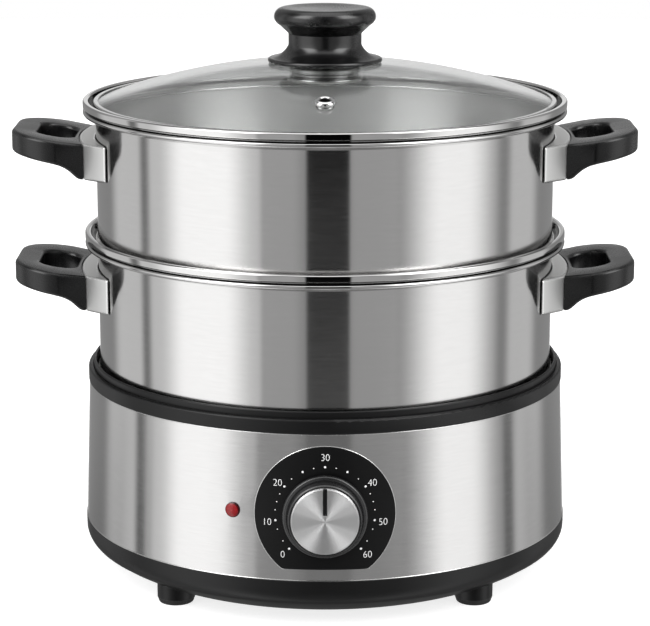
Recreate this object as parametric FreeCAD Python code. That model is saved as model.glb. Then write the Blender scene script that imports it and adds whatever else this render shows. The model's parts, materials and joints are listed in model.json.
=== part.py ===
import FreeCAD, Part
import math
import os

# Two-tier electric food steamer. Millimetres, +Z up, -Y the front with the timer dial.
# The origin is on the pot's axis, on the surface that the feet stand on.
# BASE_R drives the round pieces: each of them stands in or out from its neighbour by a named step.

# ---- Fits --------------------------------------------------------------------------------------
FIT_GAP = 0.2             # between pieces that are screwed or clipped together
THREAD_GAP = 0.05         # between pieces that touch
SHAFT_RUNNING_GAP = 0.06

# ---- Base: plastic pan, steel housing band, plastic top ring -------------------------------
FOOT_COUNT = 4
FOOT_TOP_R = 11.0
FOOT_TAPER = 0.8
FOOT_H = 3.2
FOOT_EDGE = 1.2
BOLT_R = 2.0
BOLT_HEAD_R = 3.6
BOLT_HEAD_H = 1.9
BOLT_HEAD_Z = 2.4         # seat of the head inside the foot
BOLT_GRIP = 14.0          # length of the bolt in the ring's tower
TOWER_R = 4.6
TOWER_GAP = 0.9           # between the towers and the water bowl
TOWER_H = 35.2            # pan's towers above its rim

BASE_R = 145.0            # widest radius of the bottom pan
PAN_FLOOR_INSET = 35.0    # from that radius in to the edge of the flat floor
PAN_FLOOR_RISE = 1.0      # floor above the top of the feet
PAN_H = 27.3
PAN_WALL = 2.5
PAN_SPIGOT = 6.0          # how far the pan reaches up inside the band
VENT_COUNT = 16
VENT_INSET = 26.0         # middle of the vent slots, in from the floor's edge
VENT_LENGTH = 18.0
VENT_WIDTH = 3.0

BAND_INSET = 0.4
BAND_TAPER = 3.0          # how much the band's radius loses on its way up
BAND_H = 84.0
BAND_T = 0.8
BAND_LIP = 2.0            # edges of the band turned inwards

RING_OVERHANG = 0.4       # top ring outside the band
RING_EDGE_H = 8.0
RING_WALL = 2.6
RING_SKIRT = 6.8          # how far the ring reaches down inside the band
RING_ROUND = 1.2
RING_GROOVE = 0.5         # fine groove at the collar's foot
SEAT_DROP = 2.8           # ledge for the lower tier, below the ring's edge
SEAT_W = 16.2
COLLAR_H = 6.8            # lip that stands round the lower tier
COLLAR_T = 1.7
BOWL_STEP_DROP = 3.0      # step in the ring that takes the water bowl's flange
BOWL_STEP_W = 4.5

# ---- Water bowl and heater ---------------------------------------------------------------
BOWL_T = 0.7
BOWL_DEPTH = 58.0
BOWL_DRAFT = 10.5         # how much the bowl narrows on its way down to the knuckle
BOWL_KNUCKLE_W = 8.0
BOWL_KNUCKLE_H = 8.0
BOWL_LEDGE_W = 5.0        # ledge at the bottom that lies on the heating plate's seal
SEAL_T = 0.8
PLATE_T = 4.0
PLATE_CHAMFER = 1.0
ELEMENT_INSET = 42.0      # from the plate's edge in to the element
ELEMENT_R = 3.3
ELEMENT_SWEEP = 300.0
ELEMENT_COLD_LENGTH = 14.0
ELEMENT_PIN_LENGTH = 10.0
PILLAR_COUNT = 3
PILLAR_INSET = 30.5
PILLAR_R = 5.0
PILLAR_SCREW_R = 1.8
PILLAR_SCREW_HEAD_H = 2.75
THERMOSTAT_R = 8.0
THERMOSTAT_H = 7.0
THERMOSTAT_FLANGE = (34.0, 9.0, 1.2)
TAB_W = 6.0               # blade terminals
TAB_T = 0.8
TAB_LENGTH = 9.0
TAB_PITCH = 9.0
FUSE_R = 2.2
FUSE_LENGTH = 26.0
FUSE_Y = 28.0
CLIP_T = 0.8
CLIP_W = 8.0
CLIP_FOOT = 7.0

# ---- Timer, dial and lamp ------------------------------------------------------------------
DIAL_DROP = 4.0           # dial's centre below the middle of the band
DIAL_MARGIN = 7.0         # steel left above and below the dial plate
DIAL_PLATE_CORNER = 4.0
DIAL_PLATE_T = 0.6
SKIRT_R = 23.7
SKIRT_GAP = 0.36          # between skirt and dial plate
SKIRT_T = 2.9
SKIRT_LIP = 1.2
SKIRT_ROUND = 1.5
BARREL_STEP = 2.7         # barrel's side in from the skirt's edge
BARREL_DRAFT = 0.5
BARREL_LENGTH = 8.9       # skirt's back to the barrel's end
BARREL_RIM = 1.45         # round the metal face
KNOB_WALL = 2.2
KNOB_HUB_R = 6.0
KNOB_BACK_GAP = 0.6
FACE_PROUD = 1.6
FACE_SEAT = 1.0           # how deep the metal face sits in the barrel
FACE_EDGE = 0.6
POINTER_W = 2.4
POINTER_START = 3.6       # clear of the face's centre
POINTER_DROP = 0.3
SHAFT_R = 3.0
SHAFT_HOLE_R = 5.0
SHAFT_COLLAR_T = 0.8
TIMER_BACKSET = 4.84      # timer's front behind the band's outside
TIMER_SIZE = 43.0
TIMER_DEPTH = 17.5
TIMER_CORNER = 5.0
TIMER_BORE_FLOOR = 3.5
BELL_R = 17.0
BELL_DEPTH = 7.0
BELL_T = 1.0
BELL_STEM_R = 2.5
BELL_GAP = 1.0
BRACKET_T = 1.0
TIMER_EAR = 6.0           # bracket beyond the screws
TIMER_BRACKET_H = 18.0
TIMER_SCREW_X = 18.0
TIMER_SCREW_R = 1.5
TIMER_SCREW_HEAD_R = 2.7
TIMER_SCREW_HEAD_H = 1.5

LAMP_AZIMUTH = 21.0       # degrees to the left of the front
LAMP_RISE = 0.4           # lamp's centre above the dial's
LAMP_LENS_R = 4.3
LAMP_LENS_EDGE = 0.5
LAMP_LENS_BULGE = 1.1
LAMP_STEM_R = 3.4
LAMP_STEM_LENGTH = 9.0
LAMP_HOLDER_WALL = 1.6
LAMP_HOLDER_LENGTH = 15.0
LAMP_PIN_LENGTH = 6.0
LAMP_PIN_W = 3.2
LAMP_PIN_PITCH = 4.8

# ---- Mains entry ---------------------------------------------------------------------------
GLAND_RISE = 17.2         # gland's centre above the pan's rim
GLAND_FLANGE_R = 9.0
GLAND_FLANGE_T = 1.7
GLAND_BODY_R = 6.4
GLAND_BORE_R = 3.7
GLAND_REACH = 8.5
GLAND_DEPTH = 16.0
GLAND_EDGE = 0.8
NUT_H = 5.0
NUT_CORNER_R = 10.0
TERMINAL_SIZE = (34.0, 16.0, 14.0)
TERMINAL_GAP = 24.0       # between the terminal block and the gland
TERMINAL_WELL_R = 2.6
TERMINAL_WIRE_R = 2.0
TERMINAL_WIRE_Z = 5.0

# ---- Steaming tiers --------------------------------------------------------------------------
TIER_INSET = 10.0         # tier's wall in from the base's widest radius
TIER_WALL = 0.8
TIER_H = 84.0
TIER_HEM = 3.2            # wall's lower edge turned in under the floor
TIER_GAP = 0.4            # between the foot bead and the collar round it
FOOT_BEAD = 1.8
FOOT_BEAD_H = 2.6
NEST = 6.3                # how deep the next tier or the lid sits in a rim
NEST_GAP = 2.2            # between foot bead and the rim round it
RIM_WALL = 3.5
RIM_EDGE_H = 4.1          # upper band of the rim
RIM_GROOVE_W = 1.5
RIM_GROOVE_DEPTH = 2.3
RIM_ROLL_H = 2.6          # lower roll of the rim
RIM_FLARE_H = 2.2
RIM_ROUND = 1.1
TIER_FLOOR_T = 1.0
STEAM_HOLE_R = 3.0
STEAM_RINGS = 4
STEAM_RING_STEP = 24.0
STEAM_PER_RING = 6        # holes in the innermost ring; each ring adds as many

# ---- Handles -----------------------------------------------------------------------------------
BRACKET_DROP = 22.0       # top of the bracket below the rim's top
BRACKET_H = 21.2
BRACKET_DEPTH = 10.0      # bracket's face in front of the tier's wall
BRACKET_HALF_W = 39.2
BRACKET_FLARE = 12.8      # how far the sloping ends run on to the wall
BRACKET_EDGE = 0.9
BRACKET_SEAM = 0.6        # shadow gap between the bracket's edges and the wall
BRACKET_SEAM_DEPTH = 3.0
SOCKET_WALL = 4.1
SOCKET_SIDE = 12.2
SOCKET_DEPTH = 7.6
SOCKET_GAP = 0.15
GRIP_REACH = 38.2         # from the bracket's face to the tip
GRIP_BULGE = 3.4          # loop beyond the bracket on each side
GRIP_ROOT_STEP = 0.4
GRIP_CORNER_R = 28.0
GRIP_RISE = 0.16          # slope of the top, rising outwards
GRIP_UNDERSIDE = ((-0.06, 0.02), (0.05, 0.19), (0.20, 0.38), (0.45, 0.50), (0.76, 0.60))  # reach, height
GRIP_TIP_RISE = 0.72
GRIP_ROOT_T = 2.6
GRIP_BAR_W = 14.0
GRIP_SIDE_W = 20.1
GRIP_HOLE_ROUND = 0.47    # corner of the finger hole, as a share of its width
GRIP_EDGE = 2.2
HANDLE_SCREW_Y = 17.0
HANDLE_SCREW_INSET = 3.8
HANDLE_SCREW_R = 2.0
HANDLE_SCREW_HEAD_R = 3.5
HANDLE_SCREW_HEAD_H = 1.7
HANDLE_SCREW_SINK = 0.2

# ---- Lid -------------------------------------------------------------------------------------------
LID_GAP = 2.6             # between the lid's band and the rim round it
LID_BAND_T = 0.7
LID_BAND_FOOT = 4.9       # width of the band's foot
LID_BAND_LIP = 2.8
LID_BAND_ROUND = 1.0
GLASS_T = 3.2
DOME_RISE = 23.95
LID_KNOB_R = 29.8
LID_KNOB_CAP_H = 5.8      # from the widest place to the top
LID_KNOB_SWELL_H = 9.2    # from the neck to the widest place
LID_KNOB_DISH = 0.8
LID_KNOB_RIM = 5.2
LID_NECK_R = 21.5
LID_NECK_H = 6.7
LID_NECK_RISE = 9.0       # neck's lower end above the dome's top
LID_FLANGE_R = 33.6
LID_FLANGE_T = 2.9
LID_BOSS_R = 20.5
LID_BOSS_DROP = 9.5      # step of the boss below the dome's top
LID_BOSS_FLANGE = 1.8
LID_BOSS_FLANGE_H = 3.6
LID_SCREW_R = 2.5
LID_SCREW_HEAD_R = 5.5
LID_SCREW_HEAD_H = 2.4
LID_HOLE_GAP = 1.0
WASHER_T = 0.8
WASHER_INSET = 4.0
EYELET_INSET = 38.6       # vent eyelet's middle, in from the glass's edge
EYELET_STEM_R = 4.6
EYELET_WALL = 1.7
EYELET_FLANGE = 1.6
EYELET_H = 2.4
EYELET_CLINCH = 0.6

# ---- Worked out from the sizes above --------------------------------------------------------------
PAN_FLOOR_Z = FOOT_H + PAN_FLOOR_RISE
PAN_FLOOR_R = BASE_R - PAN_FLOOR_INSET
PAN_TOP_Z = PAN_FLOOR_Z + PAN_H
TOWER_JOIN_Z = PAN_TOP_Z + TOWER_H
BOLT_END_Z = TOWER_JOIN_Z + BOLT_GRIP
VENT_R = PAN_FLOOR_R - VENT_INSET
BAND_BOTTOM_R = BASE_R - BAND_INSET
BAND_TOP_R = BAND_BOTTOM_R - BAND_TAPER
BAND_TOP_Z = PAN_TOP_Z + BAND_H
BAND_MOUTH_R = BAND_TOP_R - BAND_T - BAND_LIP
RING_R = BAND_TOP_R + RING_OVERHANG
RING_EDGE_Z = BAND_TOP_Z + RING_EDGE_H
SEAT_Z = RING_EDGE_Z - SEAT_DROP
COLLAR_TOP_Z = SEAT_Z + COLLAR_H

TIER_R = BASE_R - TIER_INSET
TIER_BORE_R = TIER_R - TIER_WALL
FOOT_BEAD_R = TIER_R + FOOT_BEAD
COLLAR_R = FOOT_BEAD_R + TIER_GAP
RIM_BORE_R = FOOT_BEAD_R + NEST_GAP
RIM_R = RIM_BORE_R + RIM_WALL
LOWER_TIER_Z = SEAT_Z
UPPER_TIER_Z = LOWER_TIER_Z + TIER_H - NEST
LID_SEAT_Z = UPPER_TIER_Z + TIER_H - NEST

BOWL_STEP_R = COLLAR_R - SEAT_W
BOWL_STEP_Z = SEAT_Z - BOWL_STEP_DROP
BOWL_HOLE_R = BOWL_STEP_R - BOWL_STEP_W
BOWL_MOUTH_R = BOWL_HOLE_R - FIT_GAP
BOWL_KNUCKLE_R = BOWL_MOUTH_R - BOWL_DRAFT
BOWL_FLOOR_R = BOWL_KNUCKLE_R - BOWL_KNUCKLE_W
BOWL_FLOOR_Z = BOWL_STEP_Z - BOWL_DEPTH
FOOT_PITCH_R = BOWL_HOLE_R + TOWER_R + TOWER_GAP
PLATE_R = BOWL_FLOOR_R
PLATE_TOP_Z = BOWL_FLOOR_Z - SEAL_T
PLATE_BOTTOM_Z = PLATE_TOP_Z - PLATE_T
ELEMENT_PITCH_R = PLATE_R - ELEMENT_INSET
PILLAR_PITCH_R = PLATE_R - PILLAR_INSET

BRACKET_OUT_R = TIER_R + BRACKET_DEPTH
BRACKET_WALL_Y = BRACKET_HALF_W + BRACKET_FLARE
SOCKET_R = BRACKET_OUT_R - SOCKET_DEPTH
SOCKET_HALF_W = BRACKET_HALF_W - SOCKET_SIDE
SOCKET_H = BRACKET_H - 2 * SOCKET_WALL
GRIP_TIP_X = BRACKET_OUT_R + GRIP_REACH
GRIP_HALF_W = BRACKET_HALF_W + GRIP_BULGE
HANDLE_SCREW_PITCH_R = BRACKET_OUT_R - HANDLE_SCREW_INSET

LID_BAND_R = RIM_BORE_R - LID_GAP
LID_BAND_LIP_R = LID_BAND_R - LID_BAND_LIP
GLASS_R = LID_BAND_R - LID_BAND_T - FIT_GAP
DOME_R = (GLASS_R ** 2 + DOME_RISE ** 2) / (2 * DOME_RISE)
GLASS_EDGE_DROP = math.sqrt(DOME_R ** 2 - GLASS_R ** 2)
GLASS_EDGE_T = GLASS_EDGE_DROP - math.sqrt((DOME_R - GLASS_T) ** 2 - GLASS_R ** 2)
DOME_TOP_Z = LID_SEAT_Z + LID_BAND_T + THREAD_GAP + GLASS_EDGE_T + DOME_RISE
DOME_CENTRE_Z = DOME_TOP_Z - DOME_R
LID_NECK_LOW_Z = DOME_TOP_Z + LID_NECK_RISE
LID_NECK_TOP_Z = LID_NECK_LOW_Z + LID_NECK_H
LID_KNOB_WIDEST_Z = LID_NECK_TOP_Z + LID_KNOB_SWELL_H
LID_KNOB_TOP_Z = LID_KNOB_WIDEST_Z + LID_KNOB_CAP_H
LID_BOSS_STEP_Z = DOME_TOP_Z - LID_BOSS_DROP
LID_BOSS_BOTTOM_Z = LID_BOSS_STEP_Z - LID_BOSS_FLANGE_H
EYELET_PITCH_R = GLASS_R - EYELET_INSET


def band_radius(z):
    """Outside radius of the housing band at a height."""
    return BAND_BOTTOM_R - BAND_TAPER * (z - PAN_TOP_Z) / BAND_H


DIAL_Z = (PAN_TOP_Z + BAND_TOP_Z) / 2 - DIAL_DROP
DIAL_PLATE_R = BAND_TOP_Z - DIAL_MARGIN - DIAL_Z
DIAL_PLATE_FLAT = DIAL_Z - PAN_TOP_Z - DIAL_MARGIN     # flat lower edge below the dial's centre
TIMER_FRONT_Y = band_radius(DIAL_Z) - TIMER_BACKSET
SKIRT_BACK_Y = band_radius(DIAL_Z - SKIRT_R) + THREAD_GAP + DIAL_PLATE_T + SKIRT_GAP
BARREL_R = SKIRT_R - BARREL_STEP
BARREL_TIP_R = BARREL_R - BARREL_DRAFT
BARREL_END_Y = SKIRT_BACK_Y + BARREL_LENGTH
FACE_SEAT_Y = BARREL_END_Y - FACE_SEAT
FACE_FRONT_Y = BARREL_END_Y + FACE_PROUD
FACE_R = BARREL_TIP_R - BARREL_RIM - FIT_GAP
LAMP_Z = DIAL_Z + LAMP_RISE
LAMP_HOLDER_R = LAMP_STEM_R + FIT_GAP + LAMP_HOLDER_WALL
GLAND_Z = PAN_TOP_Z + GLAND_RISE

X_AXIS = FreeCAD.Vector(1, 0, 0)
Y_AXIS = FreeCAD.Vector(0, 1, 0)
Z_AXIS = FreeCAD.Vector(0, 0, 1)
ORIGIN = FreeCAD.Vector(0, 0, 0)
ROUND_SHARE = 1 - math.sqrt(0.5)     # how near a quarter round's middle comes to its corner
PAST = 1.0                # how far a cut runs past what it cuts

os.makedirs("parts", exist_ok=True)


# ---- Drawing helpers -------------------------------------------------------------------------------
class Outline:
    """A closed outline drawn run by run; across and up are the plane's two directions."""

    def __init__(self, across, up):
        self.edges = []
        self.first = (across, up)
        self.at = self.first

    @staticmethod
    def point(pair):
        return FreeCAD.Vector(pair[0], 0, pair[1])

    def line(self, across, up):
        self.edges.append(Part.LineSegment(self.point(self.at), self.point((across, up))).toShape())
        self.at = (across, up)
        return self

    def arc(self, through, to):
        run = Part.Arc(self.point(self.at), self.point(through), self.point(to))
        self.edges.append(run.toShape())
        self.at = to
        return self

    def round(self, corner, to):
        """A quarter round from here to another point, that cuts off the corner between them."""
        through = [c + ROUND_SHARE * (a + b - 2 * c) for a, b, c in zip(self.at, to, corner)]
        return self.arc(through, to)

    def curve(self, *points):
        run = Part.BSplineCurve()
        run.interpolate([self.point(p) for p in (self.at,) + points])
        self.edges.append(run.toShape())
        self.at = points[-1]
        return self

    def face(self):
        if self.at != self.first:
            self.line(*self.first)
        return Part.Face(Part.Wire(self.edges))

    def turned(self):
        """The solid made by turning the outline round the Z axis."""
        return self.face().revolve(ORIGIN, Z_AXIS, 360)

    def between(self, y_low, y_high):
        """The solid made by sliding the outline along Y."""
        face = self.face()
        face.translate(FreeCAD.Vector(0, y_low, 0))
        return face.extrude(FreeCAD.Vector(0, y_high - y_low, 0))

    def raised(self, z_low, z_high):
        """The solid made by laying the outline flat, with up as Y, and sliding it along Z."""
        face = self.face()
        face.rotate(ORIGIN, X_AXIS, -90)
        face.translate(FreeCAD.Vector(0, 0, z_low))
        return face.extrude(FreeCAD.Vector(0, 0, z_high - z_low))


def rod(radius, x, y, z_low, z_high):
    return Part.makeCylinder(radius, z_high - z_low, FreeCAD.Vector(x, y, z_low))


def tube(outer, inner, x, y, z_low, z_high):
    return rod(outer, x, y, z_low, z_high).cut(rod(inner, x, y, z_low - PAST, z_high + PAST))


def block(x_low, x_high, y_low, y_high, z_low, z_high):
    corner = FreeCAD.Vector(x_low, y_low, z_low)
    return Part.makeBox(x_high - x_low, y_high - y_low, z_high - z_low, corner)


def around(shape, angle):
    copy = shape.copy()
    copy.rotate(ORIGIN, Z_AXIS, angle)
    return copy


def ring_of(shape, count, start=0.0):
    return [around(shape, start + 360.0 * i / count) for i in range(count)]


def polar(count, radius, start):
    """Evenly spaced places on a circle."""
    for i in range(count):
        angle = math.radians(start + 360.0 * i / count)
        yield radius * math.cos(angle), radius * math.sin(angle)


def facing_front(shape, x=0.0, z=DIAL_Z):
    """A piece drawn along +Z is laid along -Y, so that its height is its distance from the axis."""
    copy = shape.copy()
    copy.rotate(ORIGIN, X_AXIS, 90)
    copy.translate(FreeCAD.Vector(x, 0, z))
    return copy


def fuse_all(shapes):
    whole = shapes[0]
    for shape in shapes[1:]:
        whole = whole.fuse(shape)
    return whole.removeSplitter()


def rounded_block(width, height, corner, z_low, z_high):
    """An upright block with its four Z edges rounded, centred on the Z axis."""
    solid = block(-width / 2, width / 2, -height / 2, height / 2, z_low, z_high)
    upright = [e for e in solid.Edges if abs(e.tangentAt(e.FirstParameter).z) > 0.99]
    return solid.makeFillet(corner, upright)


def crown_z(radius, rim_r, rim_z, apex_z):
    """Height at a radius on a shallow spherical cap through a rim and an apex on the axis."""
    sagitta = apex_z - rim_z
    ball = (rim_r ** 2 + sagitta ** 2) / (2 * sagitta)
    return apex_z - ball + math.copysign(math.sqrt(ball ** 2 - radius ** 2), ball)


def save(name, shape):
    shape.exportStep("parts/" + name + ".step")


# ---- Base shell ------------------------------------------------------------------------------------
def pan_section(inset):
    """Half section of the pan's outside, moved inwards by inset."""
    spread = BASE_R - PAN_FLOOR_R
    knuckle = (BASE_R - 0.16 * spread - 0.6 * inset, PAN_FLOOR_Z + 0.43 * PAN_H + 0.8 * inset)
    belly = (PAN_FLOOR_R + 0.46 * spread - 0.3 * inset, PAN_FLOOR_Z + 0.16 * PAN_H + 0.95 * inset)
    shoulder = (BASE_R - 0.04 * spread - 0.9 * inset, PAN_FLOOR_Z + 0.58 * PAN_H + 0.4 * inset)
    side = (BASE_R - inset, PAN_FLOOR_Z + 0.77 * PAN_H)
    section = Outline(0, PAN_FLOOR_Z + inset)
    section.line(PAN_FLOOR_R, PAN_FLOOR_Z + inset)
    section.arc(belly, knuckle)
    section.arc(shoulder, side)
    return section


def foot_places():
    return polar(FOOT_COUNT, FOOT_PITCH_R, 45)


def pillar_places():
    return polar(PILLAR_COUNT, PILLAR_PITCH_R, 90)


def vent_slot():
    half_l = VENT_LENGTH / 2
    half_w = VENT_WIDTH / 2
    slot = Outline(VENT_R - half_l, -half_w).line(VENT_R + half_l, -half_w)
    slot.arc((VENT_R + half_l + half_w, 0), (VENT_R + half_l, half_w)).line(VENT_R - half_l, half_w)
    slot.arc((VENT_R - half_l - half_w, 0), slot.first)
    return slot.raised(0, PAN_FLOOR_Z + PAN_WALL + PAST)


def base_pan():
    spigot_r = BAND_BOTTOM_R - BAND_T - BAND_LIP - FIT_GAP
    spigot_z = PAN_TOP_Z + PAN_SPIGOT
    inner_r = spigot_r - PAN_WALL
    outside = pan_section(0).line(BASE_R, PAN_TOP_Z)
    outside.line(spigot_r, PAN_TOP_Z).line(spigot_r, spigot_z).line(0, spigot_z)
    hollow = pan_section(PAN_WALL).line(BASE_R - PAN_WALL, PAN_TOP_Z - PAN_WALL).line(inner_r, PAN_TOP_Z)
    hollow.line(inner_r, spigot_z + PAST).line(0, spigot_z + PAST)
    pieces = [outside.turned().cut(hollow.turned())]
    for x, y in foot_places():
        pieces.append(rod(FOOT_TOP_R, x, y, FOOT_H, PAN_FLOOR_Z + 3 * PAN_WALL))
        pieces.append(rod(TOWER_R, x, y, PAN_FLOOR_Z, TOWER_JOIN_Z))
    for x, y in pillar_places():
        pieces.append(rod(PILLAR_R, x, y, PAN_FLOOR_Z, PLATE_BOTTOM_Z))
    pan = fuse_all(pieces)
    holes = [rod(BOLT_R + FIT_GAP, x, y, 0, TOWER_JOIN_Z + PAST) for x, y in foot_places()]
    for x, y in pillar_places():
        holes.append(rod(PILLAR_SCREW_R + FIT_GAP, x, y, 0, PLATE_BOTTOM_Z + PAST))
        holes.append(rod(2 * PILLAR_SCREW_R, x, y, 0, PAN_FLOOR_Z + 1.5 * PAN_WALL))
    holes += ring_of(vent_slot(), VENT_COUNT, 180.0 / VENT_COUNT)
    return pan.cut(holes)


def front_hole(radius, x=0.0, z=DIAL_Z):
    """A cutter that goes through the front of the housing and all that lies on it."""
    return facing_front(rod(radius, 0, 0, TIMER_FRONT_Y, BASE_R + DIAL_PLATE_T + PAST), x, z)


def timer_holes():
    screw_r = TIMER_SCREW_R + FIT_GAP
    return [front_hole(SHAFT_HOLE_R), front_hole(screw_r, -TIMER_SCREW_X), front_hole(screw_r, TIMER_SCREW_X)]


def housing_band():
    top_in = BAND_TOP_R - BAND_T
    low_in = BAND_BOTTOM_R - BAND_T
    section = Outline(BAND_BOTTOM_R - BAND_T / 2, PAN_TOP_Z)
    section.line(BAND_BOTTOM_R, PAN_TOP_Z + BAND_T / 2)
    section.line(BAND_TOP_R, BAND_TOP_Z - BAND_T / 2).line(BAND_TOP_R - BAND_T / 2, BAND_TOP_Z)
    section.line(BAND_MOUTH_R, BAND_TOP_Z).line(BAND_MOUTH_R, BAND_TOP_Z - BAND_T)
    section.line(top_in, BAND_TOP_Z - BAND_T).line(low_in, PAN_TOP_Z + BAND_T)
    section.line(low_in - BAND_LIP, PAN_TOP_Z + BAND_T).line(low_in - BAND_LIP, PAN_TOP_Z)
    cuts = timer_holes()
    cuts.append(around(front_hole(LAMP_STEM_R + FIT_GAP, 0, LAMP_Z), -LAMP_AZIMUTH))
    cuts.append(around(front_hole(GLAND_BODY_R + FIT_GAP, 0, GLAND_Z), 180))
    return section.turned().cut(cuts)


def top_ring():
    """Edge, fine groove, collar round the lower tier, its seat, a step for the bowl, and a skirt."""
    skirt_r = BAND_MOUTH_R - FIT_GAP
    skirt_z = BAND_TOP_Z - RING_SKIRT
    under_z = BOWL_STEP_Z - RING_WALL
    lip_r = COLLAR_R + COLLAR_T
    half_t = COLLAR_T / 2
    section = Outline(skirt_r, skirt_z).line(skirt_r, BAND_TOP_Z).line(RING_R, BAND_TOP_Z)
    section.line(RING_R, RING_EDGE_Z - RING_ROUND)
    section.round((RING_R, RING_EDGE_Z), (RING_R - RING_ROUND, RING_EDGE_Z))
    section.line(lip_r + RING_GROOVE, RING_EDGE_Z).line(lip_r, RING_EDGE_Z - RING_GROOVE)
    section.line(lip_r, COLLAR_TOP_Z - half_t)
    section.arc((COLLAR_R + half_t, COLLAR_TOP_Z), (COLLAR_R, COLLAR_TOP_Z - half_t))
    section.line(COLLAR_R, SEAT_Z).line(BOWL_STEP_R, SEAT_Z).line(BOWL_STEP_R, BOWL_STEP_Z)
    section.line(BOWL_HOLE_R, BOWL_STEP_Z).line(BOWL_HOLE_R, under_z)
    section.line(skirt_r - RING_WALL, under_z).line(skirt_r - RING_WALL, skirt_z)
    pieces = [section.turned()]
    for x, y in foot_places():
        pieces.append(rod(TOWER_R, x, y, TOWER_JOIN_Z, BOWL_STEP_Z - RING_WALL / 2))
    ring = fuse_all(pieces)
    bolt_top = BOLT_END_Z + 2 * PAST
    return ring.cut([rod(BOLT_R + THREAD_GAP, x, y, TOWER_JOIN_Z - PAST, bolt_top) for x, y in foot_places()])


def feet():
    bottom_r = FOOT_TOP_R - FOOT_TAPER
    well_r = BOLT_HEAD_R + 1.0
    section = Outline(BOLT_R + FIT_GAP, BOLT_HEAD_Z).line(well_r, BOLT_HEAD_Z)
    section.line(well_r, 0).line(bottom_r - FOOT_EDGE, 0).round((bottom_r, 0), (bottom_r, FOOT_EDGE))
    section.line(FOOT_TOP_R, FOOT_H).line(BOLT_R + FIT_GAP, FOOT_H)
    foot = section.turned()
    copies = []
    for x, y in foot_places():
        copy = foot.copy()
        copy.translate(FreeCAD.Vector(x, y, 0))
        copies.append(copy)
    return Part.makeCompound(copies)


def case_bolts():
    bolts = []
    for x, y in foot_places():
        head = rod(BOLT_HEAD_R, x, y, BOLT_HEAD_Z - BOLT_HEAD_H, BOLT_HEAD_Z)
        bolts.append(head.fuse(rod(BOLT_R, x, y, BOLT_HEAD_Z, BOLT_END_Z)))
    return Part.makeCompound(bolts)


# ---- Water bowl and heater -----------------------------------------------------------------------
def water_bowl():
    """Drawn wall of the bowl: a ledge on the heating plate, a knuckle and a hanging flange."""
    flange_r = BOWL_STEP_R - FIT_GAP
    knuckle_z = BOWL_FLOOR_Z + BOWL_KNUCKLE_H
    ledge_r = BOWL_FLOOR_R - BOWL_LEDGE_W
    section = Outline(ledge_r, BOWL_FLOOR_Z).line(BOWL_FLOOR_R, BOWL_FLOOR_Z)
    section.round((BOWL_KNUCKLE_R, BOWL_FLOOR_Z), (BOWL_KNUCKLE_R, knuckle_z))
    section.line(BOWL_MOUTH_R, BOWL_STEP_Z).line(flange_r, BOWL_STEP_Z).line(flange_r, BOWL_STEP_Z + BOWL_T)
    section.line(BOWL_MOUTH_R - BOWL_T, BOWL_STEP_Z + BOWL_T).line(BOWL_KNUCKLE_R - BOWL_T, knuckle_z)
    section.round((BOWL_KNUCKLE_R - BOWL_T, BOWL_FLOOR_Z + BOWL_T), (BOWL_FLOOR_R, BOWL_FLOOR_Z + BOWL_T))
    section.line(ledge_r, BOWL_FLOOR_Z + BOWL_T)
    return section.turned()


def bowl_seal():
    return tube(BOWL_FLOOR_R - PLATE_CHAMFER, BOWL_FLOOR_R - BOWL_LEDGE_W, 0, 0, PLATE_TOP_Z, BOWL_FLOOR_Z)


def heating_plate():
    """Floor of the bowl, with the element's groove and the screws' blind holes underneath."""
    section = Outline(0, PLATE_BOTTOM_Z).line(PLATE_R - PLATE_CHAMFER, PLATE_BOTTOM_Z)
    section.line(PLATE_R, PLATE_BOTTOM_Z + PLATE_CHAMFER).line(PLATE_R, PLATE_TOP_Z - PLATE_CHAMFER)
    section.line(PLATE_R - PLATE_CHAMFER, PLATE_TOP_Z).line(0, PLATE_TOP_Z)
    seat = Part.makeTorus(ELEMENT_PITCH_R, ELEMENT_R, FreeCAD.Vector(0, 0, PLATE_BOTTOM_Z))
    holes = [seat]
    for x, y in pillar_places():
        holes.append(rod(PILLAR_SCREW_R + THREAD_GAP, x, y, PLATE_BOTTOM_Z - PAST, PLATE_TOP_Z - PLATE_T / 4))
    return section.turned().cut(holes)


def heating_element():
    """A tube bent round the plate, open at the front, with a cold pin at each end."""
    half_gap = (360.0 - ELEMENT_SWEEP) / 2
    tube_r = ELEMENT_R - THREAD_GAP
    cold_end = PLATE_BOTTOM_Z - ELEMENT_COLD_LENGTH
    circle = Part.makeCircle(tube_r, FreeCAD.Vector(ELEMENT_PITCH_R, 0, PLATE_BOTTOM_Z), Y_AXIS)
    start = around(circle, -90 + half_gap)
    pieces = [Part.Face(Part.Wire(start)).revolve(ORIGIN, Z_AXIS, ELEMENT_SWEEP)]
    inset = math.degrees(ELEMENT_R / ELEMENT_PITCH_R)
    for angle in (-90 + half_gap + inset, -90 - half_gap - inset):
        turn = math.radians(angle)
        x = ELEMENT_PITCH_R * math.cos(turn)
        y = ELEMENT_PITCH_R * math.sin(turn)
        pieces.append(rod(0.85 * tube_r, x, y, cold_end, PLATE_BOTTOM_Z))
        pieces.append(rod(0.4 * tube_r, x, y, cold_end - ELEMENT_PIN_LENGTH, cold_end))
    return fuse_all(pieces)


def thermostat():
    width, depth, thick = THERMOSTAT_FLANGE
    low = PLATE_BOTTOM_Z - THERMOSTAT_H
    can = rod(THERMOSTAT_R, 0, 0, low, PLATE_BOTTOM_Z)
    flange = rounded_block(width, depth, depth / 3, PLATE_BOTTOM_Z - thick, PLATE_BOTTOM_Z)
    tabs = []
    for x in (-TAB_PITCH / 2, TAB_PITCH / 2):
        tabs.append(block(x - TAB_T / 2, x + TAB_T / 2, -TAB_W / 2, TAB_W / 2, low - TAB_LENGTH, low + TAB_T))
    return fuse_all([can, flange] + tabs)


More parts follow.
